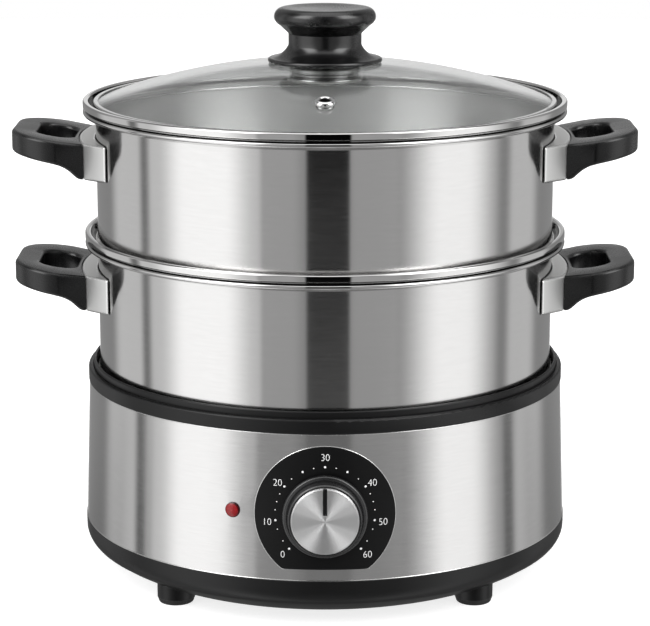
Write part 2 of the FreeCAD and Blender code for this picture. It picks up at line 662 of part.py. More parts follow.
def thermal_fuse():
    body = Part.makeCylinder(FUSE_R, FUSE_LENGTH, FreeCAD.Vector(-FUSE_LENGTH / 2, FUSE_Y, 0), X_AXIS)
    body.translate(FreeCAD.Vector(0, 0, PLATE_BOTTOM_Z - FUSE_R))
    return body


def thermal_fuse_clip():
    """A strap over the fuse, with one foot flat on the heating plate."""
    half_w = CLIP_W / 2
    low = PLATE_BOTTOM_Z - 2 * FUSE_R - CLIP_T
    front = FUSE_Y - FUSE_R
    strap = block(-half_w, half_w, front - CLIP_FOOT, FUSE_Y + FUSE_R + CLIP_T, low, PLATE_BOTTOM_Z)
    wide = half_w + PAST
    above_foot = block(-wide, wide, front - CLIP_FOOT - PAST, front - CLIP_T, low - PAST, PLATE_BOTTOM_Z - CLIP_T)
    saddle = block(-wide, wide, front, FUSE_Y + FUSE_R, low + CLIP_T, PLATE_BOTTOM_Z + PAST)
    return strap.cut(above_foot).cut(saddle)


def element_screws():
    head_top = PAN_FLOOR_Z + 1.5 * PAN_WALL
    screws = []
    for x, y in pillar_places():
        head = rod(2 * PILLAR_SCREW_R - FIT_GAP, x, y, head_top - PILLAR_SCREW_HEAD_H, head_top)
        screws.append(head.fuse(rod(PILLAR_SCREW_R, x, y, head_top, PLATE_TOP_Z - PLATE_T / 3)))
    return Part.makeCompound(screws)


# ---- Timer and dial ------------------------------------------------------------------------------------
def dial_plate():
    """A thin plate bent round the housing: a disc with a flat lower edge and rounded corners."""
    half_flat = math.sqrt(DIAL_PLATE_R ** 2 - DIAL_PLATE_FLAT ** 2)
    disc = Outline(-half_flat, -DIAL_PLATE_FLAT).arc((0, DIAL_PLATE_R), (half_flat, -DIAL_PLATE_FLAT))
    prism = disc.between(-BASE_R - DIAL_PLATE_T - PAST, -BASE_R + DIAL_PLATE_R)
    along = [e for e in prism.Edges if abs(e.tangentAt(e.FirstParameter).y) > 0.99]
    prism = prism.makeFillet(DIAL_PLATE_CORNER, along)
    prism.translate(FreeCAD.Vector(0, 0, DIAL_Z))
    low_z = DIAL_Z - DIAL_PLATE_R - PAST
    high_z = DIAL_Z + DIAL_PLATE_R + PAST
    low_r = band_radius(low_z) + THREAD_GAP
    high_r = band_radius(high_z) + THREAD_GAP
    skin = Outline(low_r, low_z).line(low_r + DIAL_PLATE_T, low_z)
    skin.line(high_r + DIAL_PLATE_T, high_z).line(high_r, high_z)
    return skin.turned().common(prism).cut(timer_holes())


def knob_body():
    back = SKIRT_BACK_Y + KNOB_BACK_GAP
    skirt_top = SKIRT_BACK_Y + SKIRT_T
    hollow_end = FACE_SEAT_Y - KNOB_WALL
    bore_r = SHAFT_R + THREAD_GAP
    seat_r = FACE_R + FIT_GAP
    section = Outline(bore_r, back).line(KNOB_HUB_R, back)
    section.line(KNOB_HUB_R, hollow_end).line(BARREL_TIP_R - KNOB_WALL, hollow_end)
    section.line(BARREL_R - KNOB_WALL, skirt_top).line(SKIRT_R - SKIRT_LIP, back)
    section.line(SKIRT_R - SKIRT_LIP, SKIRT_BACK_Y).line(SKIRT_R, SKIRT_BACK_Y)
    section.line(SKIRT_R, skirt_top - SKIRT_ROUND)
    section.round((SKIRT_R, skirt_top), (SKIRT_R - SKIRT_ROUND, skirt_top)).line(BARREL_R, skirt_top)
    section.line(BARREL_TIP_R, BARREL_END_Y - FACE_EDGE).line(BARREL_TIP_R - FACE_EDGE, BARREL_END_Y)
    section.line(seat_r, BARREL_END_Y).line(seat_r, FACE_SEAT_Y).line(bore_r, FACE_SEAT_Y)
    return facing_front(section.turned())


def pointer_slot():
    return block(-POINTER_W / 2, POINTER_W / 2, POINTER_START, FACE_R + PAST,
                 (FACE_SEAT_Y + FACE_FRONT_Y) / 2, FACE_FRONT_Y + PAST)


def knob_face():
    section = Outline(0, FACE_SEAT_Y).line(FACE_R, FACE_SEAT_Y).line(FACE_R, FACE_FRONT_Y - FACE_EDGE)
    section.line(FACE_R - FACE_EDGE, FACE_FRONT_Y).line(0, FACE_FRONT_Y)
    return facing_front(section.turned().cut(pointer_slot()))


def knob_pointer():
    """The black inlay in the face's slot, a little below the metal."""
    disc = rod(FACE_R - POINTER_DROP, 0, 0, FACE_SEAT_Y, FACE_FRONT_Y - POINTER_DROP)
    return facing_front(pointer_slot().common(disc))


def timer_shaft():
    """Runs from the timer's bore to the knob; its collar stands in front of the bracket."""
    back = TIMER_FRONT_Y - TIMER_DEPTH + TIMER_BORE_FLOOR + FIT_GAP
    collar_y = TIMER_FRONT_Y + BRACKET_T + FIT_GAP
    shaft = rod(SHAFT_R, 0, 0, back, FACE_SEAT_Y - FIT_GAP)
    return facing_front(shaft.fuse(rod(SHAFT_R + BRACKET_T, 0, 0, collar_y, collar_y + SHAFT_COLLAR_T)))


def timer_case():
    back = TIMER_FRONT_Y - TIMER_DEPTH
    case = rounded_block(TIMER_SIZE, TIMER_SIZE, TIMER_CORNER, back, TIMER_FRONT_Y)
    bore = rod(SHAFT_R + SHAFT_RUNNING_GAP, 0, 0, back + TIMER_BORE_FLOOR, TIMER_FRONT_Y + PAST)
    return facing_front(case.cut(bore))


def timer_bell():
    """A steel cup behind the timer, on a stem from the case."""
    rim_y = TIMER_FRONT_Y - TIMER_DEPTH - BELL_GAP
    crown_y = rim_y - BELL_DEPTH
    crown_r = 0.7 * BELL_R
    section = Outline(0, crown_y).line(crown_r, crown_y)
    section.round((BELL_R, crown_y), (BELL_R, rim_y)).line(BELL_R - BELL_T, rim_y)
    section.round((BELL_R - BELL_T, crown_y + BELL_T), (crown_r, crown_y + BELL_T))
    section.line(BELL_STEM_R, crown_y + BELL_T).line(BELL_STEM_R, rim_y + BELL_GAP).line(0, rim_y + BELL_GAP)
    return facing_front(section.turned())


def timer_bracket():
    width = 2 * (TIMER_SCREW_X + TIMER_EAR)
    front = TIMER_FRONT_Y + BRACKET_T
    plate = rounded_block(width, TIMER_BRACKET_H, TIMER_BRACKET_H / 6, TIMER_FRONT_Y, front)
    holes = [rod(SHAFT_R + BRACKET_T, 0, 0, TIMER_FRONT_Y - PAST, front + PAST)]
    for x in (-TIMER_SCREW_X, TIMER_SCREW_X):
        holes.append(rod(TIMER_SCREW_R + THREAD_GAP, x, 0, TIMER_FRONT_Y - PAST, front + PAST))
    return facing_front(plate.cut(holes))


def timer_screws():
    """Two screws under the knob that clamp dial plate, housing and bracket together."""
    screws = []
    plate_r = band_radius(DIAL_Z - TIMER_SCREW_HEAD_R) + THREAD_GAP + DIAL_PLATE_T
    inner_x = TIMER_SCREW_X - TIMER_SCREW_HEAD_R
    seat = math.sqrt(plate_r ** 2 - inner_x ** 2) + THREAD_GAP
    for x in (-TIMER_SCREW_X, TIMER_SCREW_X):
        stem = rod(TIMER_SCREW_R, x, 0, TIMER_FRONT_Y, seat)
        head = rod(TIMER_SCREW_HEAD_R, x, 0, seat, seat + TIMER_SCREW_HEAD_H)
        screws.append(facing_front(stem.fuse(head)))
    return Part.makeCompound(screws)


# ---- Lamp ------------------------------------------------------------------------------------------------
def at_lamp(shape):
    return around(facing_front(shape, 0, LAMP_Z), -LAMP_AZIMUTH)


def lamp_lens():
    seat = band_radius(LAMP_Z)
    edge = seat + 2 * THREAD_GAP
    rim = edge + LAMP_LENS_EDGE
    apex = rim + LAMP_LENS_BULGE
    section = Outline(0, seat - LAMP_STEM_LENGTH).line(LAMP_STEM_R, seat - LAMP_STEM_LENGTH)
    section.line(LAMP_STEM_R, edge).line(LAMP_LENS_R, edge).line(LAMP_LENS_R, rim)
    section.arc((LAMP_LENS_R / 2, crown_z(LAMP_LENS_R / 2, LAMP_LENS_R, rim, apex)), (0, apex))
    return at_lamp(section.turned())


def lamp_holder():
    seat = band_radius(LAMP_Z) - BAND_T
    stem_end = seat - LAMP_STEM_LENGTH
    back = seat - LAMP_HOLDER_LENGTH
    body = tube(LAMP_HOLDER_R, LAMP_STEM_R + FIT_GAP, 0, 0, stem_end, seat - 2 * FIT_GAP)
    pieces = [body, rod(LAMP_HOLDER_R, 0, 0, back, stem_end)]
    for x in (-LAMP_PIN_PITCH / 2, LAMP_PIN_PITCH / 2):
        pieces.append(block(x - TAB_T / 2, x + TAB_T / 2, -LAMP_PIN_W / 2, LAMP_PIN_W / 2,
                            back - LAMP_PIN_LENGTH, stem_end))
    return at_lamp(fuse_all(pieces))


# ---- Mains entry -------------------------------------------------------------------------------------
def cord_gland():
    """A flanged bush: a tapered nose outside, and a threaded body that reaches inside."""
    seat = band_radius(GLAND_Z)
    flange_y = seat + 2 * GLAND_EDGE / 5
    end_y = seat + GLAND_REACH
    nose_r = GLAND_BODY_R - GLAND_EDGE
    section = Outline(GLAND_BORE_R, seat - GLAND_DEPTH).line(GLAND_BODY_R, seat - GLAND_DEPTH)
    section.line(GLAND_BODY_R, flange_y).line(GLAND_FLANGE_R, flange_y)
    section.line(GLAND_FLANGE_R, flange_y + GLAND_FLANGE_T)
    section.line(GLAND_BODY_R + GLAND_EDGE, flange_y + GLAND_FLANGE_T + GLAND_EDGE)
    section.line(nose_r, end_y - GLAND_EDGE).line(nose_r - GLAND_EDGE, end_y).line(GLAND_BORE_R, end_y)
    return around(facing_front(section.turned(), 0, GLAND_Z), 180)


def gland_nut():
    corners = list(polar(6, NUT_CORNER_R, 0))
    flat_r = NUT_CORNER_R * math.cos(math.radians(30))
    reach = math.sqrt((band_radius(GLAND_Z + flat_r) - BAND_T) ** 2 - NUT_CORNER_R ** 2)
    seat = reach - THREAD_GAP
    nut = Outline(*corners[0])
    for corner in corners[1:]:
        nut.line(*corner)
    bore = rod(GLAND_BODY_R + THREAD_GAP, 0, 0, seat - NUT_H - PAST, seat + PAST)
    return around(facing_front(nut.raised(seat - NUT_H, seat).cut(bore), 0, GLAND_Z), 180)


def terminal_block():
    width, depth, height = TERMINAL_SIZE
    low = PAN_FLOOR_Z + PAN_WALL
    back = band_radius(GLAND_Z) - GLAND_DEPTH - TERMINAL_GAP
    front = back - depth
    body = block(-width / 2, width / 2, front, back, low, low + height)
    wells = []
    for x in (-width / 3, 0, width / 3):
        wells.append(rod(TERMINAL_WELL_R, x, front + depth / 3, low + TERMINAL_WIRE_Z, low + height + PAST))
        wire = FreeCAD.Vector(x, front - PAST, low + TERMINAL_WIRE_Z)
        wells.append(Part.makeCylinder(TERMINAL_WIRE_R, depth + 2 * PAST, wire, Y_AXIS))
    return body.cut(wells)


# ---- Steaming tiers -------------------------------------------------------------------------------------
def tier_pan(z):
    """Foot bead with a hem under the floor, thin wall, and a grooved rolled rim with a seat inside."""
    top = z + TIER_H
    groove_top = top - RIM_EDGE_H
    groove_low = groove_top - RIM_GROOVE_W
    roll_low = groove_low - RIM_ROLL_H
    flare_low = roll_low - RIM_FLARE_H
    groove_r = RIM_R - RIM_GROOVE_DEPTH
    slope = RIM_GROOVE_W / 3
    roll_r = RIM_R - RIM_ROUND
    flare = (TIER_R + 0.55 * (roll_r - TIER_R), roll_low - 0.55 * RIM_FLARE_H)
    bead_r = FOOT_BEAD_R - FOOT_BEAD_H / 2
    hem_r = TIER_BORE_R - TIER_HEM
    section = Outline(hem_r, z).line(bead_r, z)
    section.arc((FOOT_BEAD_R, z + FOOT_BEAD_H / 2), (bead_r, z + FOOT_BEAD_H))
    section.line(TIER_R, z + 1.2 * FOOT_BEAD_H).line(TIER_R, flare_low).arc(flare, (roll_r, roll_low))
    section.arc((RIM_R, roll_low + RIM_ROLL_H / 2), (roll_r, groove_low))
    section.line(groove_r, groove_low + slope).line(groove_r, groove_top - slope)
    section.line(RIM_R - slope, groove_top).line(RIM_R, groove_top + slope).line(RIM_R, top - RIM_ROUND)
    section.round((RIM_R, top), (roll_r, top)).line(RIM_BORE_R + RIM_ROUND, top)
    section.round((RIM_BORE_R, top), (RIM_BORE_R, top - RIM_ROUND))
    section.line(RIM_BORE_R, top - NEST).line(TIER_BORE_R, top - NEST)
    section.line(TIER_BORE_R, z + TIER_WALL).line(hem_r, z + TIER_WALL)
    return section.turned()


def tier_floor(z):
    """Perforated disc that lies on the wall's hem, with a low rim turned up along the wall."""
    low = z + TIER_WALL + THREAD_GAP
    top = low + TIER_FLOOR_T
    edge_r = TIER_BORE_R - THREAD_GAP
    section = Outline(0, low).line(edge_r - TIER_FLOOR_T, low)
    section.round((edge_r, low), (edge_r, low + TIER_FLOOR_T)).line(edge_r, top + TIER_FLOOR_T / 2)
    section.line(edge_r - TIER_FLOOR_T, top + TIER_FLOOR_T / 2).line(edge_r - 1.5 * TIER_FLOOR_T, top)
    section.line(0, top)
    holes = [rod(STEAM_HOLE_R, 0, 0, low - PAST, top + PAST)]
    for ring in range(1, STEAM_RINGS + 1):
        hole = rod(STEAM_HOLE_R, ring * STEAM_RING_STEP, 0, low - PAST, top + PAST)
        holes += ring_of(hole, ring * STEAM_PER_RING)
    return section.turned().cut(holes)


def bracket_outline():
    """Plan of the right-hand bracket: it hugs the wall, and its ends slope out from it."""
    wall_r = TIER_R + THREAD_GAP
    wall_x = math.sqrt(wall_r ** 2 - BRACKET_WALL_Y ** 2)
    out_x = math.sqrt(BRACKET_OUT_R ** 2 - BRACKET_HALF_W ** 2)
    plan = Outline(wall_x, -BRACKET_WALL_Y).line(out_x, -BRACKET_HALF_W)
    plan.arc((BRACKET_OUT_R, 0), (out_x, BRACKET_HALF_W)).line(wall_x, BRACKET_WALL_Y)
    plan.arc((wall_r, 0), plan.first)
    return plan


def socket_plan(inner_r, half_width, outer_x):
    inner_x = math.sqrt(inner_r ** 2 - half_width ** 2)
    plan = Outline(outer_x, -half_width).line(outer_x, half_width).line(inner_x, half_width)
    plan.arc((inner_r, 0), (inner_x, -half_width))
    return plan


def handle_screw_places():
    for y in (-HANDLE_SCREW_Y, HANDLE_SCREW_Y):
        yield math.sqrt(HANDLE_SCREW_PITCH_R ** 2 - y ** 2), y


def bracket_relief(low, top):
    """Room between bracket and wall all round a smaller pad, which shows as a thin dark seam."""
    ring = tube(TIER_R + BRACKET_SEAM, TIER_R - TIER_WALL, 0, 0, low - PAST, top + PAST)
    half_w = BRACKET_WALL_Y - BRACKET_SEAM_DEPTH
    z_low = low + BRACKET_SEAM_DEPTH
    z_high = top - BRACKET_SEAM_DEPTH
    return ring.cut(block(0, BRACKET_OUT_R, -half_w, half_w, z_low, z_high))


def handle_bracket(top):
    low = top - BRACKET_H
    middle = (top + low) / 2
    head_top = low + HANDLE_SCREW_SINK + HANDLE_SCREW_HEAD_H
    solid = bracket_outline().raised(low, top)
    near_wall = TIER_R + BRACKET_EDGE
    outer_edges = []
    for edge in solid.Edges:
        centre = edge.CenterOfMass
        at_end = abs(centre.y) > BRACKET_WALL_Y - BRACKET_EDGE
        if math.hypot(centre.x, centre.y) > near_wall and not at_end:
            outer_edges.append(edge)
    solid = solid.makeChamfer(BRACKET_EDGE, outer_edges)
    socket = socket_plan(SOCKET_R, SOCKET_HALF_W, GRIP_TIP_X)
    cuts = [bracket_relief(low, top), socket.raised(middle - SOCKET_H / 2, middle + SOCKET_H / 2)]
    for x, y in handle_screw_places():
        cuts.append(rod(HANDLE_SCREW_R + FIT_GAP, x, y, low - PAST, middle))
        cuts.append(rod(HANDLE_SCREW_HEAD_R + FIT_GAP, x, y, low - PAST, head_top))
    return solid.cut(cuts)


def grip_plan():
    """Half-oval loop with a blunt tip; its root follows the bracket's curved face."""
    root_r = BRACKET_OUT_R + THREAD_GAP
    root_half_w = BRACKET_HALF_W - GRIP_ROOT_STEP
    root_x = math.sqrt(root_r ** 2 - root_half_w ** 2)
    bend_x = GRIP_TIP_X - GRIP_CORNER_R
    bend_y = GRIP_HALF_W - GRIP_CORNER_R
    plan = Outline(root_x, -root_half_w).line(bend_x, -GRIP_HALF_W)
    plan.round((GRIP_TIP_X, -GRIP_HALF_W), (GRIP_TIP_X, -bend_y)).line(GRIP_TIP_X, bend_y)
    plan.round((GRIP_TIP_X, GRIP_HALF_W), (bend_x, GRIP_HALF_W))
    plan.line(root_x, root_half_w).arc((root_r, 0), plan.first)
    return plan


def grip_side(top):
    """Side view: a deep root that sweeps up under the fingers to a slim tip."""
    low = top - BRACKET_H
    end_x = GRIP_TIP_X + GRIP_BAR_W / 2
    corner_x = math.sqrt(BRACKET_OUT_R ** 2 - BRACKET_HALF_W ** 2)
    side = Outline(TIER_R - TIER_WALL, top - GRIP_RISE * BRACKET_DEPTH).line(TIER_R - TIER_WALL, low)
    side.line(corner_x, low)
    underside = []
    for reach_share, height_share in GRIP_UNDERSIDE:
        underside.append((BRACKET_OUT_R + reach_share * GRIP_REACH, low + height_share * BRACKET_H))
    side.curve(*underside, (end_x, low + GRIP_TIP_RISE * BRACKET_H))
    side.line(end_x, top + GRIP_RISE * (end_x - BRACKET_OUT_R))
    return side


def finger_hole(z_low, z_high):
    inner_x = BRACKET_OUT_R + GRIP_ROOT_T
    outer_x = GRIP_TIP_X - GRIP_BAR_W
    width = outer_x - inner_x
    hole = rounded_block(width, 2 * (GRIP_HALF_W - GRIP_SIDE_W), GRIP_HOLE_ROUND * width, z_low, z_high)
    hole.translate(FreeCAD.Vector((inner_x + outer_x) / 2, 0, 0))
    return hole


def is_upright(edge):
    middle = (edge.FirstParameter + edge.LastParameter) / 2
    return abs(edge.tangentAt(middle).z) > 0.75


def is_on_root(edge):
    """True for an edge of the face that meets the bracket."""
    places = [edge.valueAt(p) for p in (edge.FirstParameter, edge.LastParameter)]
    return all(math.hypot(p.x, p.y) < BRACKET_OUT_R + 2 * THREAD_GAP for p in places)


def handle_grip(top):
    """Loop with all its outer edges rounded, and a tongue that fills the bracket's socket."""
    low = top - BRACKET_H
    middle = (top + low) / 2
    blank = grip_plan().raised(low - BRACKET_H, top + BRACKET_H)
    blank = blank.common(grip_side(top).between(-2 * GRIP_HALF_W, 2 * GRIP_HALF_W))
    blank = blank.cut(finger_hole(low - BRACKET_H, top + BRACKET_H))
    rounded = [edge for edge in blank.Edges if not (is_upright(edge) or is_on_root(edge))]
    blank = blank.makeFillet(GRIP_EDGE, rounded)
    tongue_end = BRACKET_OUT_R + 0.7 * GRIP_ROOT_T
    tongue_plan = socket_plan(SOCKET_R + SOCKET_GAP, SOCKET_HALF_W - SOCKET_GAP, tongue_end)
    half_h = SOCKET_H / 2 - SOCKET_GAP
    grip = blank.fuse(tongue_plan.raised(middle - half_h, middle + half_h)).removeSplitter()
    screw_top = middle + 0.75 * half_h
    return grip.cut([rod(HANDLE_SCREW_R + THREAD_GAP, x, y, low, screw_top) for x, y in handle_screw_places()])


def handle_screws(top):
    low = top - BRACKET_H
    head_low = low + HANDLE_SCREW_SINK
    head_top = head_low + HANDLE_SCREW_HEAD_H
    stem_top = (top + low) / 2 + SOCKET_H / 6
    screws = []
    for x, y in handle_screw_places():
        head = rod(HANDLE_SCREW_HEAD_R, x, y, head_low, head_top)
        screw = head.fuse(rod(HANDLE_SCREW_R, x, y, head_top, stem_top))
        screws += [screw, around(screw, 180)]
    return Part.makeCompound(screws)


# ---- Lid ---------------------------------------------------------------------------------------------
def dome_z(radius, depth=0.0):
    """Height at a radius on the dome's outer surface, or at a depth below it."""
    return DOME_CENTRE_Z + math.sqrt((DOME_R - depth) ** 2 - radius ** 2)


def dome_arc(section, depth, r_to):
    """Carries a section along the dome, from where it is to another radius."""
    middle = (section.at[0] + r_to) / 2
    section.arc((middle, dome_z(middle, depth)), (r_to, dome_z(r_to, depth)))


def at_vent(shape):
    """Stands a piece drawn at the origin on the glass, square to it, at the vent's place."""
    lean = math.degrees(math.asin(EYELET_PITCH_R / DOME_R))
    copy = shape.copy()
    copy.rotate(ORIGIN, X_AXIS, lean)
    copy.translate(FreeCAD.Vector(0, -EYELET_PITCH_R, dome_z(EYELET_PITCH_R)))
    return copy


def lid_glass():
    hole_r = LID_SCREW_R + LID_HOLE_GAP
    section = Outline(hole_r, dome_z(hole_r, GLASS_T))
    dome_arc(section, GLASS_T, GLASS_R)
    section.line(GLASS_R, dome_z(GLASS_R))
    dome_arc(section, 0, hole_r)
    return section.turned().cut(at_vent(rod(EYELET_STEM_R + FIT_GAP, 0, 0, -2 * GLASS_T, GLASS_T)))


def lid_rim_band():
    """A channel round the glass: foot, wall, and a lip pressed down on the glass."""
    inside = LID_BAND_R - LID_BAND_T
    foot_top = LID_SEAT_Z + LID_BAND_T
    foot_r = LID_BAND_R - LID_BAND_FOOT
    edge = LID_BAND_ROUND / 2
    lip_z = dome_z(LID_BAND_LIP_R) + THREAD_GAP
    lip_top = lip_z + LID_BAND_T
    section = Outline(foot_r, LID_SEAT_Z).line(LID_BAND_R - edge, LID_SEAT_Z)
    section.line(LID_BAND_R, LID_SEAT_Z + edge).line(LID_BAND_R, lip_top - LID_BAND_ROUND)
    section.round((LID_BAND_R, lip_top), (LID_BAND_R - LID_BAND_ROUND, lip_top)).line(LID_BAND_LIP_R, lip_top)
    section.line(LID_BAND_LIP_R, lip_z).line(inside, dome_z(inside) + THREAD_GAP)
    section.line(inside, foot_top).line(foot_r, foot_top)
    return section.turned()


def lid_knob():
    """A turned grip: dished top, heavy round edge, waist, and a flange that follows the glass."""
    bore_r = LID_SCREW_R + THREAD_GAP
    seat_r = LID_FLANGE_R - WASHER_INSET + THREAD_GAP
    foot_r = LID_FLANGE_R - LID_FLANGE_T / 2
    foot_z = dome_z(foot_r)
    flange_top = foot_z + LID_FLANGE_T
    waist_w = foot_r - LID_NECK_R
    waist_h = LID_NECK_LOW_Z - flange_top
    cap_r = LID_KNOB_R - LID_KNOB_RIM
    cheek_r = LID_KNOB_R - 0.1 * LID_KNOB_R
    dish_z = LID_KNOB_TOP_Z - LID_KNOB_DISH
    section = Outline(bore_r, dome_z(bore_r) + WASHER_T)
    section.line(seat_r, dome_z(seat_r) + WASHER_T).line(seat_r, dome_z(seat_r) + THREAD_GAP)
    section.line(foot_r, foot_z + 2 * THREAD_GAP)
    section.arc((LID_FLANGE_R, foot_z + LID_FLANGE_T / 2), (foot_r, flange_top))
    section.arc((LID_NECK_R + 0.33 * waist_w, LID_NECK_LOW_Z - 0.62 * waist_h), (LID_NECK_R, LID_NECK_LOW_Z))
    section.line(LID_NECK_R, LID_NECK_TOP_Z).line(cheek_r, LID_KNOB_WIDEST_Z - 0.45 * LID_KNOB_SWELL_H)
    section.arc((LID_KNOB_R, LID_KNOB_WIDEST_Z), (0.88 * LID_KNOB_R, LID_KNOB_TOP_Z - LID_KNOB_DISH / 3))
    section.line(cap_r, LID_KNOB_TOP_Z)
    section.arc((cap_r / 2, crown_z(cap_r / 2, cap_r, LID_KNOB_TOP_Z, dish_z)), (0, dish_z))
    section.line(0, LID_NECK_TOP_Z).line(bore_r, LID_NECK_TOP_Z)
    return section.turned()


def lid_knob_washer():
    inner = LID_SCREW_R + LID_HOLE_GAP
    outer = LID_FLANGE_R - WASHER_INSET
    thick = WASHER_T - THREAD_GAP
    section = Outline(inner, dome_z(inner))
    dome_arc(section, 0, outer)
    section.line(outer, dome_z(outer) + thick).line(inner, dome_z(inner) + thick)
    return section.turned()


def lid_knob_boss():
    """A stepped steel washer under the glass, with a groove between its two rims."""
    bore_r = LID_SCREW_R + THREAD_GAP
    groove_r = LID_BOSS_R - 1.0
    flange_r = LID_BOSS_R + LID_BOSS_FLANGE
    edge = 0.3 * LID_BOSS_FLANGE_H
    step = LID_BOSS_STEP_Z
    top = dome_z(groove_r, GLASS_T) - 2 * THREAD_GAP
    section = Outline(bore_r, LID_BOSS_BOTTOM_Z).line(flange_r - edge, LID_BOSS_BOTTOM_Z)
    section.arc((flange_r, LID_BOSS_BOTTOM_Z + edge), (flange_r - edge / 2, LID_BOSS_BOTTOM_Z + 2 * edge))
    section.line(groove_r, step - edge / 2).line(groove_r, step + edge / 2)
    section.line(LID_BOSS_R, step + edge).line(LID_BOSS_R, step + 0.8 * LID_BOSS_FLANGE_H)
    section.line(groove_r, top).line(bore_r, top)
    return section.turned()


def lid_knob_screw():
    edge = LID_SCREW_HEAD_H / 2
    head_low = LID_BOSS_BOTTOM_Z - LID_SCREW_HEAD_H
    end_z = LID_NECK_TOP_Z - LID_HOLE_GAP
    section = Outline(0, head_low).line(LID_SCREW_HEAD_R - edge, head_low)
    section.round((LID_SCREW_HEAD_R, head_low), (LID_SCREW_HEAD_R, head_low + edge))
    section.line(LID_SCREW_HEAD_R, LID_BOSS_BOTTOM_Z).line(LID_SCREW_R, LID_BOSS_BOTTOM_Z)
    section.line(LID_SCREW_R, end_z).line(0, end_z)
    return section.turned()


def lid_vent_eyelet():
    """A rolled eyelet that grips the glass from both sides."""
    bore_r = EYELET_STEM_R - EYELET_WALL
    flange_r = EYELET_STEM_R + EYELET_FLANGE
    crest_r = (flange_r + bore_r) / 2
    clinch_z = -GLASS_T - FIT_GAP
    section = Outline(bore_r, clinch_z - EYELET_CLINCH)
    section.line(EYELET_STEM_R + EYELET_CLINCH, clinch_z - EYELET_CLINCH)
    section.line(EYELET_STEM_R + EYELET_CLINCH, clinch_z).line(EYELET_STEM_R, clinch_z)
    section.line(EYELET_STEM_R, 2 * THREAD_GAP).line(flange_r, 2 * THREAD_GAP)
    section.round((flange_r, EYELET_H), (crest_r, EYELET_H))
    section.round((bore_r, EYELET_H), (bore_r, EYELET_H / 2))
    return at_vent(section.turned())


# ---- Every piece, one file each ---------------------------------------------------------------------------
def save_base():
    save("base_pan", base_pan())
    save("base_housing_band", housing_band())
    save("base_top_ring", top_ring())
    save("feet", feet())
    save("case_bolts", case_bolts())
    save("water_bowl", water_bowl())
    save("water_bowl_seal", bowl_seal())
    save("heating_plate", heating_plate())
    save("heating_element", heating_element())
    save("element_screws", element_screws())
    save("thermostat", thermostat())
    save("thermal_fuse", thermal_fuse())
    save("thermal_fuse_clip", thermal_fuse_clip())
    save("dial_plate", dial_plate())
    save("timer_case", timer_case())
    save("timer_bell", timer_bell())
    save("timer_bracket", timer_bracket())
    save("timer_screws", timer_screws())
    save("lamp_lens", lamp_lens())
    save("lamp_holder", lamp_holder())
    save("cord_gland", cord_gland())
    save("gland_nut", gland_nut())
    save("terminal_block", terminal_block())


def save_dial():
    save("timer_knob", knob_body())
    save("timer_knob_face", knob_face())
    save("timer_knob_pointer", knob_pointer())
    save("timer_shaft", timer_shaft())


def save_tier(name, z):
    handle_top = z + TIER_H - BRACKET_DROP
    save(name + "_tier_pan", tier_pan(z))
    save(name + "_tier_floor", tier_floor(z))
    bracket = handle_bracket(handle_top)
    grip = handle_grip(handle_top)
    for side, angle in (("right", 0), ("left", 180)):
        save(name + "_" + side + "_bracket", around(bracket, angle))
        save(name + "_" + side + "_grip", around(grip, angle))
    save(name + "_handle_screws", handle_screws(handle_top))


def save_lid():
    save("lid_glass", lid_glass())
    save("lid_rim_band", lid_rim_band())
    save("lid_knob", lid_knob())
    save("lid_knob_washer", lid_knob_washer())
    save("lid_knob_boss", lid_knob_boss())
    save("lid_knob_screw", lid_knob_screw())
    save("lid_vent_eyelet", lid_vent_eyelet())


save_base()
save_dial()
save_tier("lower", LOWER_TIER_Z)
save_tier("upper", UPPER_TIER_Z)
save_lid()
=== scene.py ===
import json
import math

import bmesh
import bpy
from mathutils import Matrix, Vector


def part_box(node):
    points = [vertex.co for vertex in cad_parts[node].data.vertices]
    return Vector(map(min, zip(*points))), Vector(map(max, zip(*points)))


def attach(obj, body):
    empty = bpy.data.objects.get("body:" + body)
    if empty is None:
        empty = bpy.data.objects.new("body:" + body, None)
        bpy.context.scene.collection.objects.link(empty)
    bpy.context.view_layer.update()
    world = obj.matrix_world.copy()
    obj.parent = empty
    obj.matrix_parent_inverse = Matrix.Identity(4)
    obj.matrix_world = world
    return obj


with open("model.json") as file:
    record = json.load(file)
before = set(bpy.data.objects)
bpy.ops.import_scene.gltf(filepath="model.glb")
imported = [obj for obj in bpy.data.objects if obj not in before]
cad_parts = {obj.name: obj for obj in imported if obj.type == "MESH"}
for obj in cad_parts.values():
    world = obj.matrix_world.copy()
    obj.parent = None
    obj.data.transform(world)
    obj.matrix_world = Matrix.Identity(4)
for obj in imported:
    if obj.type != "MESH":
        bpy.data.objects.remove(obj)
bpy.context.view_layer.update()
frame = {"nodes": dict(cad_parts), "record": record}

# The steamer's looks. Metres, in the part's own frame: +Z up, -Y the front.
MM = 0.001
NODES = frame["nodes"]
TIERS = ("lower", "upper")
SIDES = ("left", "right")

# ---- Camera, as it stands in front of the steamer ------------------------------------------
CAMERA_PLACE = (0.0, -1.4572, 0.48635)
CAMERA_PITCH = math.radians(90 - 12.945)
CAMERA_SENSOR = 36.0
CAMERA_LENS = 137.71
CAMERA_CLIP = 0.05

# ---- Studio: what metal and plastic reflect ------------------------------------------------
# Azimuths are in degrees from the front, and heights in degrees above the horizon. A fade is
# (where it begins, where it is full).
WALL_LEVEL = 0.36
